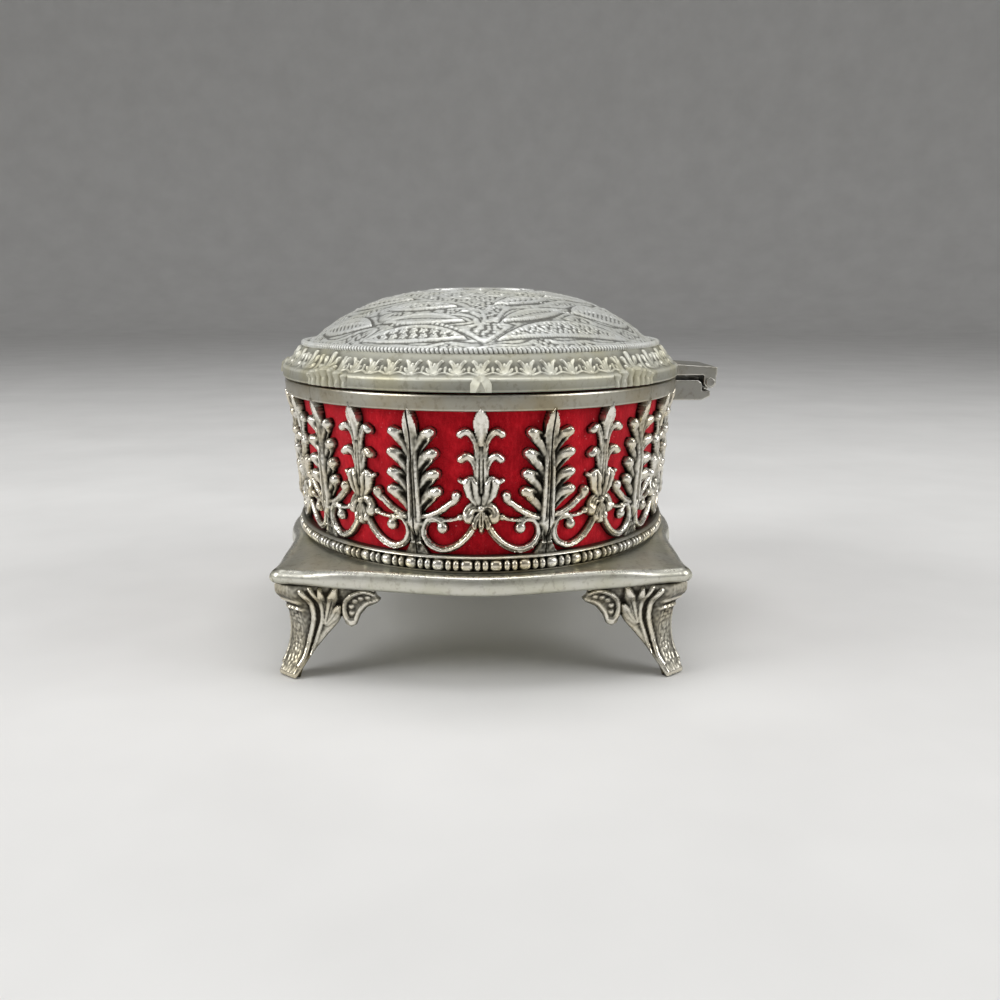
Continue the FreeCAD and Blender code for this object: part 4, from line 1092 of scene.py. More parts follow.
def dome_z(x, y):
    share = np.sqrt((x / DOME_A) ** 2 + (y / DOME_B) ** 2)
    return ROPE_Z + DOME_RISE * (1 - np.clip(share, 0, 1) ** DOME_POWER)


def on_dome(x, y, h):
    """Frame points on the dome. The raised leaves reach the solid's own height."""
    reach = np.hypot(x / DOME_A, y / DOME_B)
    z = np.minimum(dome_z(x, y) - RELIEF_RISE * smooth(1.0, 0.95, reach) + h, LID_TOP)
    return np.stack([x, y, z], -1)


DOME_MARGIN = 0.4
# Rings of the dome's underside, as shares of its half length and width
UNDER_RINGS = (0.99, 0.95, 0.88, 0.78, 0.65, 0.5, 0.3, 0.1)
UNDER_SIDES = 96


def dome_relief():
    xs = np.linspace(-DOME_A - DOME_MARGIN, DOME_A + DOME_MARGIN, int(2 * DOME_A / LID_CELL) | 1)
    ys = np.linspace(-DOME_B - DOME_MARGIN, DOME_B + DOME_MARGIN, int(2 * DOME_B / LID_CELL) | 1)
    r = Relief(xs, ys, low=0.0)
    r.nearness = np.zeros(r.x.shape)
    draw_dome(r)
    r.height = np.maximum(r.height, r.height[::-1, ::-1])
    apart = -STRAND_SOFTNESS * np.log(r.nearness + r.nearness[::-1, ::-1] + 1e-9)
    wander = WANDER * (np.sin(0.55 * r.x + 1.3 * np.sin(0.31 * r.y)) + np.sin(0.7 * r.y))
    strands = np.abs(np.cos(math.pi * (apart + 0.4 * wander) / STRAND_PITCH)) ** 0.8 * smooth(0.1, 0.6, apart)
    field = smooth(1.6, 2.6, apart + wander)
    grain = pebbles(r.x, r.y, 1.0, GROUND_SEED)
    ground = 0.04 + (0.3 * strands + 0.06 * grain) * (1 - field) + 0.26 * grain * field
    r.height = np.maximum(r.height + 0.05 * grain * (r.height > 0.2), ground * (apart > 0))
    share = np.hypot(r.x / DOME_A, r.y / DOME_B)
    r.height *= smooth(1.0, 0.985, share)
    r.depth = (1 - share) * DOME_B
    return r


def lid_dome():
    """Domed top with its relief, and a plain underside."""
    relief = dome_relief()
    cells = 1 / LID_CELL
    # Painted highlight on the dome's high relief and painted shade in its hollows, with rubbed wear
    coarse = relief.height - blur(relief.height, 1.4 * cells)
    fine = relief.height - blur(relief.height, 0.45 * cells)
    light_and_wear = np.clip(0.54 + 0.8 * coarse + 2.4 * fine, 0, 1)
    shape = Shape()
    relief_shell(shape, relief, on_dome, light_and_wear, back=-0.8, closed=False)
    around = turns(UNDER_SIDES)[None, :]
    reach = np.array(UNDER_RINGS)[:, None]
    x, y = (DOME_A - LID_WALL) * reach * np.cos(around), (DOME_B - LID_WALL) * reach * np.sin(around)
    under = np.stack([x, y, dome_z(x, y) - LID_WALL - RELIEF_RISE], -1)
    shape.grid(under[::-1], 0.3, around=True)
    shape.cap(under[-1], True)
    shape.make("lid_dome", "lid", lid_metal, "lid_shell")


# Knobs on the lid's edge: width and height, how far they stand out, and where
END_KNOB = (3.9, 3.1)
END_REACH = 2.1
FRONT_KNOB = (7.6, 3.4)
FRONT_REACH = 2.0
FRONT_LIFT = 0.15
KNOB_Z = LID_BOTTOM + 1.65
KNOB_SINK = 0.5
UP = np.array([0, 0, 1.0])

# Corners of a knob's arched base and of its small face, as shares of its width and height
KNOB_ARCH = [
    (-0.5, -0.5), (0.0, -0.5), (0.5, -0.5), (0.5, 0.0), (0.34, 0.36), (0.0, 0.5), (-0.34, 0.36), (-0.5, 0.0)]
KNOB_FACE = [
    (-0.24, -0.46), (0.0, -0.46), (0.24, -0.46), (0.13, -0.15), (0.03, 0.12), (0.0, 0.16), (-0.03, 0.12),
    (-0.13, -0.15)]
# Shares of the knob's reach at which these stand
KNOB_LEVELS = ((0.0, KNOB_ARCH), (0.35, KNOB_ARCH), (1.0, KNOB_FACE))

# Rise and width, as shares, and outward lean in mm of a leaf tip
TIP_PROFILE = [
    (0.0, 0.7, 0.0), (0.15, 0.85, 0.0), (0.45, 0.75, -0.1), (0.68, 0.95, 0.1), (0.82, 1.05, 0.2),
    (0.94, 0.85, 0.15), (1.0, 0.45, 0.0)]
# Place along the edge from the middle of the group, radius and height of each tip
LEAF_TIPS = [
    (-5.4, 0.8, 2.7), (-3.7, 1.05, 3.3), (-1.8, 0.9, 3.7), (0.0, 1.25, 3.9), (2.0, 0.95, 3.4),
    (3.7, 1.1, 3.1), (5.3, 0.75, 2.5)]
TIP_GROUP_ANGLE = math.radians(42)
TIP_SIDES = 14
TIP_SINK = 0.15
TIP_LIFT = 0.1
BOSS_SHARP = 35

QUARTERS = ((1, 1), (1, -1), (-1, -1), (-1, 1))


def faceted_knob(shape, middle, out, along, size, reach):
    """Cut knob on the lid's edge: an arched base that slopes to a small face."""
    width, height = size
    rings = []
    for depth, corners in KNOB_LEVELS:
        base = middle + out * (reach * depth)
        rings.append([base + along * (x * width) + UP * (y * height) for x, y in corners])
    shape.knob(rings, 0.5)


def leaf_tip(shape, point, out, radius, height):
    """Rounded leaf tip that stands against the lid's edge and curls out at its top."""
    turn = turns(TIP_SIDES)
    rings = []
    for rise, scale, lean in TIP_PROFILE:
        x, y = point + out * lean
        wide = radius * scale
        z = np.full(TIP_SIDES, LID_BOTTOM + TIP_LIFT + height * rise)
        rings.append(np.column_stack([x + wide * np.cos(turn), y + wide * np.sin(turn), z]))
    shape.knob(rings, 0.55)


def lid_bosses():
    shape = Shape()
    for side in (1, -1):
        middle = np.array([side * (LID.a - KNOB_SINK), 0, KNOB_Z])
        faceted_knob(shape, middle, np.array([side, 0, 0]), np.array([0, side, 0]), END_KNOB, END_REACH)
    middle = np.array([0, KNOB_SINK - LID.b, KNOB_Z + FRONT_LIFT])
    faceted_knob(shape, middle, np.array([0, -1, 0]), np.array([1, 0, 0]), FRONT_KNOB, FRONT_REACH)
    for sx, sy in QUARTERS:
        for along, radius, height in LEAF_TIPS:
            angle = TIP_GROUP_ANGLE + along / LID.b
            out = np.array([math.cos(angle) * sx, math.sin(angle) * sy])
            leaf_tip(shape, out * (LID.a - TIP_SINK, LID.b - TIP_SINK), out, radius, height)
    shape.make("lid_bosses", "lid", border_metal, sharp=BOSS_SHARP)


lid_border()
lid_rope()
lid_dome()
lid_bosses()


# Base plate

PLATE_MARGIN = 2.4
PLATE_A = RIM_A - WALL_TAPER + PLATE_MARGIN
PLATE_B = RIM_B - WALL_TAPER + PLATE_MARGIN
EAR_X = RIM_A - 9.7
EAR_Y = RIM_B - 3.2
EAR_RADIUS = 2.7
PLATE_COLUMNS = 720
PLATE_SHARP = 40

# The plate's top ends under the wall, and the pocket below begins there
PLATE_INNER = 3.4
POCKET_SHARE = 0.995

# Inset and height of the plate's edge, along the oval and at an ear
PLATE_EDGE = [
    (2.6, 0.0), (1.0, 0.02), (0.35, 0.25), (0.0, 0.8), (-0.02, 1.8), (0.05, 2.9), (0.3, 3.5), (0.75, 3.85),
    (1.25, 3.92), (1.9, 3.78)]
EAR_EDGE = [
    (2.6, 0.0), (1.6, 0.1), (0.8, 0.5), (0.25, 1.15), (0.0, 1.9), (0.2, 2.7), (0.65, 3.3), (1.1, 3.7),
    (1.5, 3.85), (1.9, 3.78)]
LIP_INSET, LIP_HEIGHT = PLATE_EDGE[-1]
# Shares of the way from the edge to the wall, and the painted light and wear from the underside to there: a
# painted highlight along the rounded nose, darker towards the wall
TOP_SHARES = (0.15, 0.35, 0.6, 0.8, 1.0)
PLATE_LIGHT_AND_WEAR = [0.4, 0.4, 0.5, 0.62, 0.7, 0.8, 0.95, 1.0, 0.95, 0.7, 0.55, 0.55, 0.5, 0.4, 0.3]
EAR_DROOP = 0.75


def plate_outline(count):
    """Closed curve: oval stretches that run out into four rounded ears, evenly spaced."""
    def on_oval(degrees):
        angle = math.radians(degrees)
        return np.array([PLATE_A * math.cos(angle), PLATE_B * math.sin(angle)])

    end, side = on_oval(12), on_oval(69)
    centre = np.array([EAR_X - EAR_RADIUS, EAR_Y - EAR_RADIUS])
    nose = [centre + EAR_RADIUS * np.array([math.cos(a), math.sin(a)]) for a in np.radians((0, 30, 60, 90))]
    hollow = (nose[-1] + side) / 2 - np.array([0, 0.7])
    corner = [end, (2 * end + nose[0]) / 3, (end + 2 * nose[0]) / 3, *nose, hollow, side, on_oval(79.5)]
    points = [on_oval(0)] + corner + [on_oval(90)] + [p * (-1, 1) for p in corner[::-1]]
    points += [on_oval(180)] + [-p for p in corner] + [on_oval(270)] + [p * (1, -1) for p in corner[::-1]]
    path = curve(points[-2:] + points + points[:3], 16)[32:-32]
    steps = lengths_along(path)
    even = np.linspace(0, steps[-1], count, endpoint=False)
    return np.stack([np.interp(even, steps, path[:, k]) for k in (0, 1)], -1)


def base_plate():
    line = plate_outline(PLATE_COLUMNS)
    ahead = np.roll(line, -1, 0) - np.roll(line, 1, 0)
    out = unit(np.stack([ahead[:, 1], -ahead[:, 0]], -1))
    angle = np.arctan2(line[:, 1] / RIM_B, line[:, 0] / RIM_A)
    inner = np.stack([(RIM_A - PLATE_INNER) * np.cos(angle), (RIM_B - PLATE_INNER) * np.sin(angle)], -1)
    room = np.linalg.norm(line - inner, axis=1)
    droop = EAR_DROOP * smooth(5, 13, room)
    ear = smooth(8, 12.5, room)
    thick = PLATE_TOP - FOOT_TOP
    rows = []
    for (inset, z), (ear_inset, ear_z) in zip(PLATE_EDGE, EAR_EDGE):
        row_inset = inset + (ear_inset - inset) * ear
        row_z = z + (ear_z - z) * ear
        level = FOOT_TOP + row_z - droop * (row_z / thick)
        rows.append(np.column_stack([line - out * row_inset[:, None], level]))
    rim = line - out * LIP_INSET
    for share in TOP_SHARES:
        flat = rim + (inner - rim) * share
        rise = LIP_HEIGHT + (thick - LIP_HEIGHT) * share ** 1.6
        rows.append(np.column_stack([flat, FOOT_TOP + rise - droop * (1 - share) ** 1.3]))
    shape = Shape()
    shape.grid(np.stack(rows), np.repeat(np.array(PLATE_LIGHT_AND_WEAR)[:, None], len(line), 1), around=True)
    shape.cap(rows[-1])
    pocket = np.column_stack([inner * POCKET_SHARE, np.full(len(line), FOOT_TOP)])
    ceiling = pocket + (0, 0, thick / 2)
    shape.grid(np.stack([ceiling, pocket, rows[0]]), 0.4, around=True)
    shape.cap(ceiling, True)
    shape.make("base_plate_cast", "casket", plate_metal, "base_plate", PLATE_SHARP)


base_plate()


# Feet, drawn unfolded: v along the skin from the middle of the corner panel, z up

# Nodes of the feet, and the signs of x and y at their corners
FEET = [
    ("foot_back_right", 1, 1), ("foot_back_left", -1, 1), ("foot_front_right", 1, -1),
    ("foot_front_left", -1, -1)]
FOOT_CELL = 0.2
FOOT_HALF = 19.6
FOOT_WALL = 2.4
FOOT_LOW = 1.5
FOOT_TRIM_LOW = 1.9
FOOT_GRAIN = 0.06
FOOT_INSIDE_LIGHT_AND_WEAR = 0.45

# Corner panel of a foot: half width, cut off the corner, rounding of its edges, half width of its stippling
PANEL_HALF = 2.4
PANEL_CUT = 3.4
PANEL_BEND = 0.6
PANEL_STIPPLE = 1.7

# Inset from the ear, and share of the foot's height, from its top down
FOOT_CURVE = [(0.2, 1.0), (0.4, 0.88), (2.1, 0.76), (2.9, 0.5), (2.6, 0.3), (1.2, 0.1), (0.6, 0.0)]
# Outline of a foot's side: distance from the ear's corner, and height
FOOT_OUTLINE = [
    (-9, 19.6), (-9, 0), (4.7, 0), (5.6, 1.4), (6.8, 3.2), (8.8, 6.0), (11.0, 8.6), (13.0, 10.9),
    (13.9, 12.4), (13.9, 13.6), (14.0, 12.2), (14.6, 10.6), (15.7, 10.0), (16.8, 10.6), (17.6, 12.6),
    (19.0, 14.3), (21.0, 15.2), (22.0, 16.4), (22.0, 19.6)]
FOOT_BERRIES = ((15.9, 13.2), (15.9, 14.6), (16.7, 15.8), (17.9, 16.5), (19.3, 16.7))


def foot_inset(z):
    shares = [share * FOOT_TOP for _, share in FOOT_CURVE[::-1]]
    steps = curve(list(zip(shares, [inset for inset, _ in FOOT_CURVE[::-1]])), 10)
    return np.interp(z, steps[:, 0], steps[:, 1])


def inside_polygon(x, y, corners):
    """Distance inside a closed outline, negative outside."""
    far = np.full(x.shape, FAR)
    odd = np.zeros(x.shape, bool)
    for start, stop in zip(corners, corners[1:] + corners[:1]):
        _, ex, ey = from_stretch(x, y, start, stop)
        far = np.minimum(far, np.hypot(ex, ey))
        (x0, y0), (x1, y1) = start, stop
        if y1 != y0:
            odd ^= ((y0 > y) != (y1 > y)) & (x < x0 + (y - y0) * (x1 - x0) / (y1 - y0))
    return np.where(odd, far, -far)


def draw_foot_trim(r):
    """Scrolls, leaves and berries of a foot's side. x runs from the ear's corner."""
    r.band([(6.2, 18.0), (7.8, 15.6), (8.3, 12.2), (7.4, 8.0), (6.4, 4.6), (5.2, 2.6)], 1.15, 0.9, 0.7, 0.15)
    r.band([(8.0, 18.6), (9.7, 15.6), (10.0, 12.2), (9.0, 8.6), (7.9, 5.4), (7.0, 3.0)], 0.95, 0.7, 0.55)
    r.leaf([(10.5, 11.0), (10.4, 14.4), (9.9, 18.4)], 1.7, 0.6, 0.3, 0.3, LEAF, 0.2)
    r.leaf([(10.8, 11.2), (11.8, 14.8), (12.9, 18.6)], 2.3, 0.7, 0.35, 0.35, LEAF, 0.2)
    r.leaf([(10.9, 10.8), (12.2, 12.3), (13.4, 14.6)], 2.0, 0.65, 0.35, 0.3, LEAF, 0.2)
    hook = [(15.9, 10.9), (14.6, 12.6), (14.6, 15.2), (16.2, 17.3), (18.8, 18.0), (21.4, 16.9)]
    r.band(hook, 1.1, 0.8, 0.6, 0.2)
    r.band([(16.6, 11.6), (17.3, 13.4), (18.9, 15.1), (21.2, 15.9)], 0.9, 0.7, 0.5)
    for x, y in FOOT_BERRIES:
        r.ball(x, y, 0.62, 0.55)
    r.ball(15.8, 11.2, 1.0, 0.6)
    r.band([(14.6, 19.0), (18.4, 19.0), (21.8, 18.0)], 0.8, 0.7, 0.5)


def foot_relief():
    vs = np.linspace(-FOOT_HALF, FOOT_HALF, int(2 * FOOT_HALF / FOOT_CELL) | 1)
    zs = np.linspace(0, FOOT_TOP, int(FOOT_TOP / FOOT_CELL))
    r = Relief(vs, zs, low=FOOT_LOW)
    plain = r.x
    away = np.abs(plain)
    r.x = away + PANEL_CUT - PANEL_HALF + foot_inset(r.y)
    body = inside_polygon(r.x, r.y, FOOT_OUTLINE)
    r.add(body, r.low + 0.55 * dome_of(body))
    outline = r.depth.copy()
    r.low = FOOT_TRIM_LOW
    draw_foot_trim(r)
    grain = pebbles(plain, r.y, 0.9, FOOT_SEED)
    panel = smooth(0, 0.4, PANEL_STIPPLE - away) * smooth(15.2, 14.2, r.y) * smooth(1.8, 2.8, r.y)
    r.height += 0.14 * grain * panel
    lip = bell(r.y - 15.6, 0.55) + 0.8 * bell(r.y - 13.9, 0.4)
    r.height += 0.6 * lip * smooth(3.6, 2.0, away)
    toe = bell(r.y - 1.0, 0.9)
    r.height += 0.35 * toe * smooth(4.5, 2.5, away)
    r.depth = outline
    r.low = FOOT_LOW
    r.x = plain
    return r


def on_foot(v, z, h, sx, sy):
    """Frame points on the skin of the foot at one corner: the panel, and a side along each edge."""
    inset = foot_inset(z)
    away = np.abs(v)
    bend = smooth(PANEL_HALF - PANEL_BEND, PANEL_HALF + PANEL_BEND, away)
    turn = math.pi / 4 * (1 - bend * np.sign(v))
    along = np.maximum(away - PANEL_HALF, 0)
    on_panel = np.minimum(away, PANEL_HALF) * np.sign(v)
    half = PANEL_CUT / 2
    x = -inset - half + on_panel / math.sqrt(2) - np.where(v < 0, along, 0)
    y = -inset - half - on_panel / math.sqrt(2) - np.where(v > 0, along, 0)
    x = EAR_X + x + np.cos(turn) * (h - FOOT_WALL)
    y = EAR_Y + y + np.sin(turn) * (h - FOOT_WALL)
    return np.stack([sx * x, sy * y, z], -1)


def make_feet():
    relief = foot_relief()
    relief.height += cast_grain(relief.x, relief.y, FOOT_GRAIN)
    # Painted shade in the feet's creases and painted highlight on their high places, with rubbed wear
    light_and_wear = relief.painted_light_and_wear(LIGHT_AND_WEAR_REACH)
    for node, sx, sy in FEET:
        def place(v, z, h):
            return on_foot(v, z, h, sx, sy)

        shape = Shape()
        relief_shell(shape, relief, place, light_and_wear, back_light_and_wear=FOOT_INSIDE_LIGHT_AND_WEAR)
        if sx * sy > 0:
            shape.faces = [f[::-1] for f in shape.faces]
        shape.make(node + "_cast", "casket", foot_metal, node)


make_feet()


# Velvet and pads

RIPPLES = 14
RIPPLE_SIZE = 0.22
RIPPLE_LENGTH = 6
CLOTH_COLUMNS = 640
CLOTH_ROWS = 44
CLOTH_BOTTOM = PLATE_TOP + 0.05


def ripple(s, z, seed):
    """Gentle unevenness of glued cloth."""
    rng = np.random.default_rng(seed)
    total = np.zeros(np.broadcast(s, z).shape)
    for _ in range(RIPPLES):
        waves = round(rng.uniform(0.15, 0.9) * WALL.length / RIPPLE_LENGTH)
        lean = rng.uniform(-0.5, 0.5)
        start = rng.uniform(0, 6)
        total = total + np.sin(waves * 2 * math.pi * s / WALL.length + lean * z + start)
    return RIPPLE_SIZE * total / RIPPLES


def velvet_band(name, node, front, back, top, seed, facing):
    """Sheet of velvet glued round the card band. facing is 1 outward and -1 inward."""
    s = WALL.even(CLOTH_COLUMNS)[None, :]
    z = np.linspace(CLOTH_BOTTOM, top, CLOTH_ROWS)[:, None]
    wave = ripple(s, z, seed)
    grid_s, grid_z = np.broadcast_to(s, wave.shape), np.broadcast_to(z, wave.shape)
    shown = on_wall(grid_s, grid_z, front - facing * wave)
    hidden = on_wall(grid_s, grid_z, np.full(wave.shape, back))[::-1]
    rows = np.concatenate([shown, hidden])
    shape = Shape()
    shape.grid(rows if facing > 0 else rows[::-1], 0.5, around=True, across=True)
    obj = shape.make(name, "casket", velvet, node)


PAD_COLUMNS = 180
# Step in from the edge in mm and share of the height, from the underside to the crown
PAD_PROFILE = [(1.2, 0.0), (0.3, 0.12), (0.0, 0.32), (0.35, 0.5), (1.4, 0.66), (3.5, 0.79)]
PAD_PROFILE += [(7.0, 0.88), (13.0, 0.95), (21.0, 0.985), (29.0, 1.0), (33.0, 1.0)]

# Puckers round the edge: depth in mm, number, and where up the pad they are
PUCKER_DEPTH = 0.16
PUCKERS = 36
PUCKER_AT = 0.45
PUCKER_SPREAD = 0.3

# Cloth simulation: the share of the height that is held, and the settings
PAD_HELD = 0.2
PAD_QUALITY = 6
PAD_PRESSURE = 4.0
PAD_POINT_MASS = 0.0002
PAD_EASE = -0.03
PAD_FRAMES = 12

# Underside, height and inset of each pad, and the most that a point may move. The lid's pad hangs.
FLOOR_PAD_Z = PLATE_TOP + 1.5
FLOOR_PAD_HEIGHT = 3.2
LINED_WALL = 4.7
FLOOR_PLAY = 0.7
LID_PLAY = 0.75
FLOOR_PAD_INSET = WALL_TAPER + LINED_WALL + FLOOR_PLAY
FLOOR_PAD_CAP = 0.8
LID_PAD_Z = LID_BOTTOM + 1.0
LID_PAD_HEIGHT = -1.3
LID_PAD_INSET = LID_RIM + LID_PLAY
LID_PAD_CAP = 0.4


def stuffed(points, faces, held, cap):
    """Swells a pad by cloth simulation, no point further than cap, and smooths it: its points and faces."""
    scene = bpy.context.scene
    mesh = bpy.data.meshes.new("stuffing")
    mesh.from_pydata(points * MM, [], faces)
    obj = bpy.data.objects.new("stuffing", mesh)
    scene.collection.objects.link(obj)
    obj.vertex_groups.new(name="held").add(held, 1.0, "REPLACE")
    cloth = obj.modifiers.new("stuffing", "CLOTH")
    cloth.settings.quality = PAD_QUALITY
    cloth.settings.mass = PAD_POINT_MASS
    cloth.settings.vertex_group_mass = "held"
    cloth.settings.use_pressure = True
    cloth.settings.uniform_pressure_force = PAD_PRESSURE
    cloth.settings.shrink_min = PAD_EASE
    cloth.settings.effector_weights.gravity = 0
    cloth.collision_settings.use_collision = False
    for step in range(1, PAD_FRAMES + 1):
        scene.frame_set(step)
    swollen = np.empty(len(points) * 3)
    obj.evaluated_get(bpy.context.evaluated_depsgraph_get()).data.vertices.foreach_get("co", swollen)
    move = swollen.reshape(-1, 3) / MM - points
    far = np.linalg.norm(move, axis=1, keepdims=True) + 1e-9
    capped = points + move * cap * np.tanh(far / cap) / far
    obj.modifiers.remove(cloth)
    mesh.vertices.foreach_set("co", (capped * MM).ravel())
    mesh.update()
    obj.modifiers.new("smooth", "SUBSURF").levels = 1
    fine = obj.evaluated_get(bpy.context.evaluated_depsgraph_get()).data
    fine_points = np.array([vertex.co for vertex in fine.vertices]) / MM
    fine_faces = np.array([list(polygon.vertices) for polygon in fine.polygons])
    bpy.data.objects.remove(obj)
    bpy.data.meshes.remove(mesh)
    scene.frame_set(1)
    return fine_points, fine_faces


def pad(name, node, body, z, height, inset, cap):
    """Stuffed oval pad: crowned, drawn in under its edge, with small puckers where it is turned under."""
    path = curve(PAD_PROFILE, 2)
    around = turns(PAD_COLUMNS)
    puckers = np.sin(PUCKERS * around + 1.5 * np.sin(5 * around))
    rows = []
    for step, share in path:
        pucker = PUCKER_DEPTH * puckers * bell(share - PUCKER_AT, PUCKER_SPREAD)
        a, b = RIM_A - inset - step + pucker, RIM_B - inset - step + pucker
        level = np.full(PAD_COLUMNS, z + share * height)
        rows.append(np.column_stack([a * np.cos(around), b * np.sin(around), level]))
    points = np.vstack(rows + [rows[-1].mean(0), rows[0].mean(0)])
    index = np.arange(len(path) * PAD_COLUMNS).reshape(len(path), PAD_COLUMNS)
    after = np.roll(index, -1, 1)
    crown, under = len(points) - 2, len(points) - 1
    faces = np.stack([index[:-1], after[:-1], after[1:], index[1:]], -1).reshape(-1, 4).tolist()
    faces += [(a, b, crown) for a, b in zip(index[-1].tolist(), after[-1].tolist())]
    faces += [(b, a, under) for a, b in zip(index[0].tolist(), after[0].tolist())]
    if height < 0:
        faces = [tuple(face)[::-1] for face in faces]
    held = index[path[:, 1] < PAD_HELD].ravel().tolist() + [under]
    shape = Shape()
    shape.add(*stuffed(points, faces, held, cap), 0.5)
    obj = shape.make(name, body, velvet, node)


# Inward places of each sheet's shown and glued face, its top and its seed
velvet_band("outer_velvet_cloth", "outer_velvet", 2.35, 2.9, RIM_TOP - 1.0, 11, 1)
velvet_band("inner_velvet_cloth", "inner_velvet", 4.65, 4.1, RIM_TOP - 0.3, 12, -1)
pad("floor_cushion", "floor_pad", "casket", FLOOR_PAD_Z, FLOOR_PAD_HEIGHT, FLOOR_PAD_INSET, FLOOR_PAD_CAP)
pad("lid_cushion", "lid_lining_pad", "lid", LID_PAD_Z, LID_PAD_HEIGHT, LID_PAD_INSET, LID_PAD_CAP)


# Hinge pieces: the solids' own shapes with their edges rounded as a casting's are

HINGE_VOXEL = 0.13
HINGE_PASSES = 3
PIN_VOXEL = 0.1
PIN_PASSES = 2
NEVER_SHARP = 180


def cast_copy(name, node, body, voxel, passes):
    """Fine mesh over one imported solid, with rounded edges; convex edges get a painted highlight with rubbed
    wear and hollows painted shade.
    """
    source = bpy.data.objects.new(name + "_source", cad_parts[node].data.copy())
    source.matrix_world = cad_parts[node].matrix_world
    bpy.context.scene.collection.objects.link(source)
    remesh = source.modifiers.new("remesh", "REMESH")
    remesh.mode = "VOXEL"
    remesh.voxel_size = voxel * MM
    soften = source.modifiers.new("soften", "SMOOTH")
    soften.factor = 0.5
    soften.iterations = passes
    evaluated = source.evaluated_get(bpy.context.evaluated_depsgraph_get())
    mesh = bpy.data.meshes.new_from_object(evaluated)
    points = np.empty(len(mesh.vertices) * 3, np.float32)
    mesh.vertices.foreach_get("co", points)
    world = np.array(source.matrix_world)
    points = (points.reshape(-1, 3) @ world[:3, :3].T + world[:3, 3]) / MM
    faces = [list(polygon.vertices) for polygon in mesh.polygons]
    edges = np.array([edge.vertices[:] for edge in mesh.edges])
    normals = np.empty(len(mesh.vertices) * 3, np.float32)
    mesh.vertices.foreach_get("normal", normals)
    normals = normals.reshape(-1, 3) @ world[:3, :3].T
    # Bend of the surface: painted highlight on convex edges, painted shade in hollows
    bend = np.zeros(len(points))
    for here, there in ((0, 1), (1, 0)):
        step = points[edges[:, there]] - points[edges[:, here]]
        np.add.at(bend, edges[:, here], -(step * normals[edges[:, here]]).sum(1) / voxel)
    bpy.data.objects.remove(source)
    shape = Shape()
    shape.add(points, np.zeros((0, 4), int), np.clip(0.45 + 0.5 * bend, 0, 1))
    shape.faces = faces
    shape.make(name, body, hinge_metal, node, NEVER_SHARP)


cast_copy("hinge_tongue_cast", "lid_hinge_tongue", "lid", HINGE_VOXEL, HINGE_PASSES)
cast_copy("hinge_bracket_cast", "hinge_bracket", "casket", HINGE_VOXEL, HINGE_PASSES)
cast_copy("hinge_pin_cast", "hinge_pin", "casket", PIN_VOXEL, PIN_PASSES)


# Camera at the photograph's angle

CAMERA_AT = (261.5, 0.0, 74.66)
CAMERA_PITCH = 0.1801
CAMERA_YAW = 0.0173
LENS = 39.6
SENSOR = 36.0
NEAREST_SEEN = 0.01

# Studio, in metres: a flat floor that bends up into a round wall
FLOOR_RINGS = [0.02, 0.6, 1.2]
FLOOR_RADIUS = 2.2
FLOOR_BEND = 0.6
BEND_RINGS = 9
WALL_HEIGHT = 2.6
FLOOR_SIDES = 96
# The floor lies a hair under the soles, so that the faces don't coincide
FLOOR_DROP = 0.00005
FLOOR_COLOURS = [(0.3, (0.74, 0.735, 0.72)), (0.7, (0.80, 0.795, 0.78))]
FLOOR_PATCH_SIZE = 60.0

# Name, place and size in metres, and power in watts
SOFTBOXES = [
    ("left_softbox", (0.25, -0.75, 0.45), 0.45, 3.7),
    ("right_softbox", (0.25, 0.75, 0.45), 0.45, 3.0),
    ("overhead_softbox", (0.05, 0.0, 0.95), 0.6, 4.0),
]
LIGHTS_AIM = (0, 0, 0.05)
SKY_COLOUR = (0.77, 0.77, 0.78, 1)
SKY_STRENGTH = 0.37


def make_camera():
    data = bpy.data.cameras.new("camera")
    data.lens = LENS
    data.sensor_width = SENSOR
    data.clip_start = NEAREST_SEEN
    obj = bpy.data.objects.new("camera", data)
    obj.location = Vector(CAMERA_AT) * MM
    level = math.cos(CAMERA_PITCH)
    ahead = Vector((-math.cos(CAMERA_YAW) * level, math.sin(CAMERA_YAW) * level, -math.sin(CAMERA_PITCH)))
    obj.rotation_euler = ahead.to_track_quat("-Z", "Y").to_euler()
    bpy.context.scene.collection.objects.link(obj)
    bpy.context.scene.camera = obj


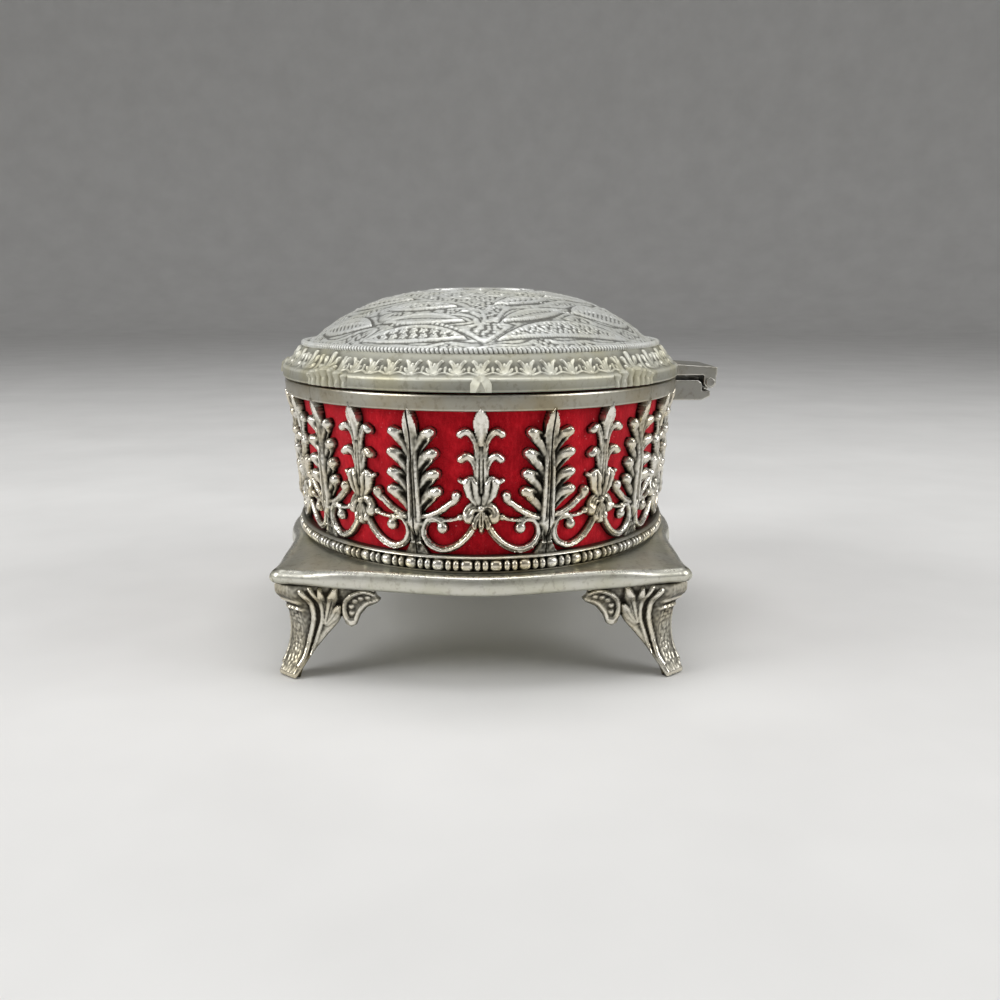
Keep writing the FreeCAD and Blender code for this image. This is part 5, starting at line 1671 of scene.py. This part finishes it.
def area_light(name, place, size, power):
    data = bpy.data.lights.new(name, "AREA")
    data.energy = power
    data.size = size
    obj = bpy.data.objects.new(name, data)
    obj.location = place
    obj.rotation_euler = (Vector(LIGHTS_AIM) - Vector(place)).to_track_quat("-Z", "Y").to_euler()
    bpy.context.scene.collection.objects.link(obj)


def make_floor():
    paint = Paint("floor")
    paint.set("Base Color", paint.patches(FLOOR_PATCH_SIZE, 3, FLOOR_COLOURS))
    paint.set("Roughness", 0.85)
    bend = np.linspace(0, math.pi / 2, BEND_RINGS)
    wall = FLOOR_RADIUS + FLOOR_BEND
    reach = np.concatenate([FLOOR_RINGS, FLOOR_RADIUS + FLOOR_BEND * np.sin(bend), [wall]])[:, None]
    rise = np.concatenate([np.zeros(len(FLOOR_RINGS)), FLOOR_BEND * (1 - np.cos(bend)), [WALL_HEIGHT]])
    around = turns(FLOOR_SIDES)[None, :]
    level = np.repeat(rise[:, None] - FLOOR_DROP, FLOOR_SIDES, 1)
    points = np.stack([reach * np.cos(around), reach * np.sin(around), level], -1)
    shape = Shape()
    shape.grid(points, around=True)
    shape.cap(points[0], True)
    mesh = bpy.data.meshes.new("floor")
    mesh.from_pydata(np.vstack(shape.points), [], shape.faces)
    mesh.shade_smooth()
    mesh.materials.append(paint.material)
    floor = bpy.data.objects.new("floor", mesh)
    bpy.context.scene.collection.objects.link(floor)


def make_lights():
    for name, place, size, power in SOFTBOXES:
        area_light(name, place, size, power)
    world = bpy.data.worlds.new("world")
    world.use_nodes = True
    sky = world.node_tree.nodes["Background"]
    sky.inputs["Color"].default_value = SKY_COLOUR
    sky.inputs["Strength"].default_value = SKY_STRENGTH
    bpy.context.scene.world = world


make_camera()
make_floor()
make_lights()
bpy.context.scene.view_settings.view_transform = "Standard"

# Nodes that are shown as they are
SHOWN_NODES = (("foot_screws", steel), ("wall_card", card), ("floor_card", card), ("lid_lining_card", card))
for node, finish in SHOWN_NODES:
    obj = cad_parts[node]
    obj.data.materials.clear()
    obj.data.materials.append(finish)
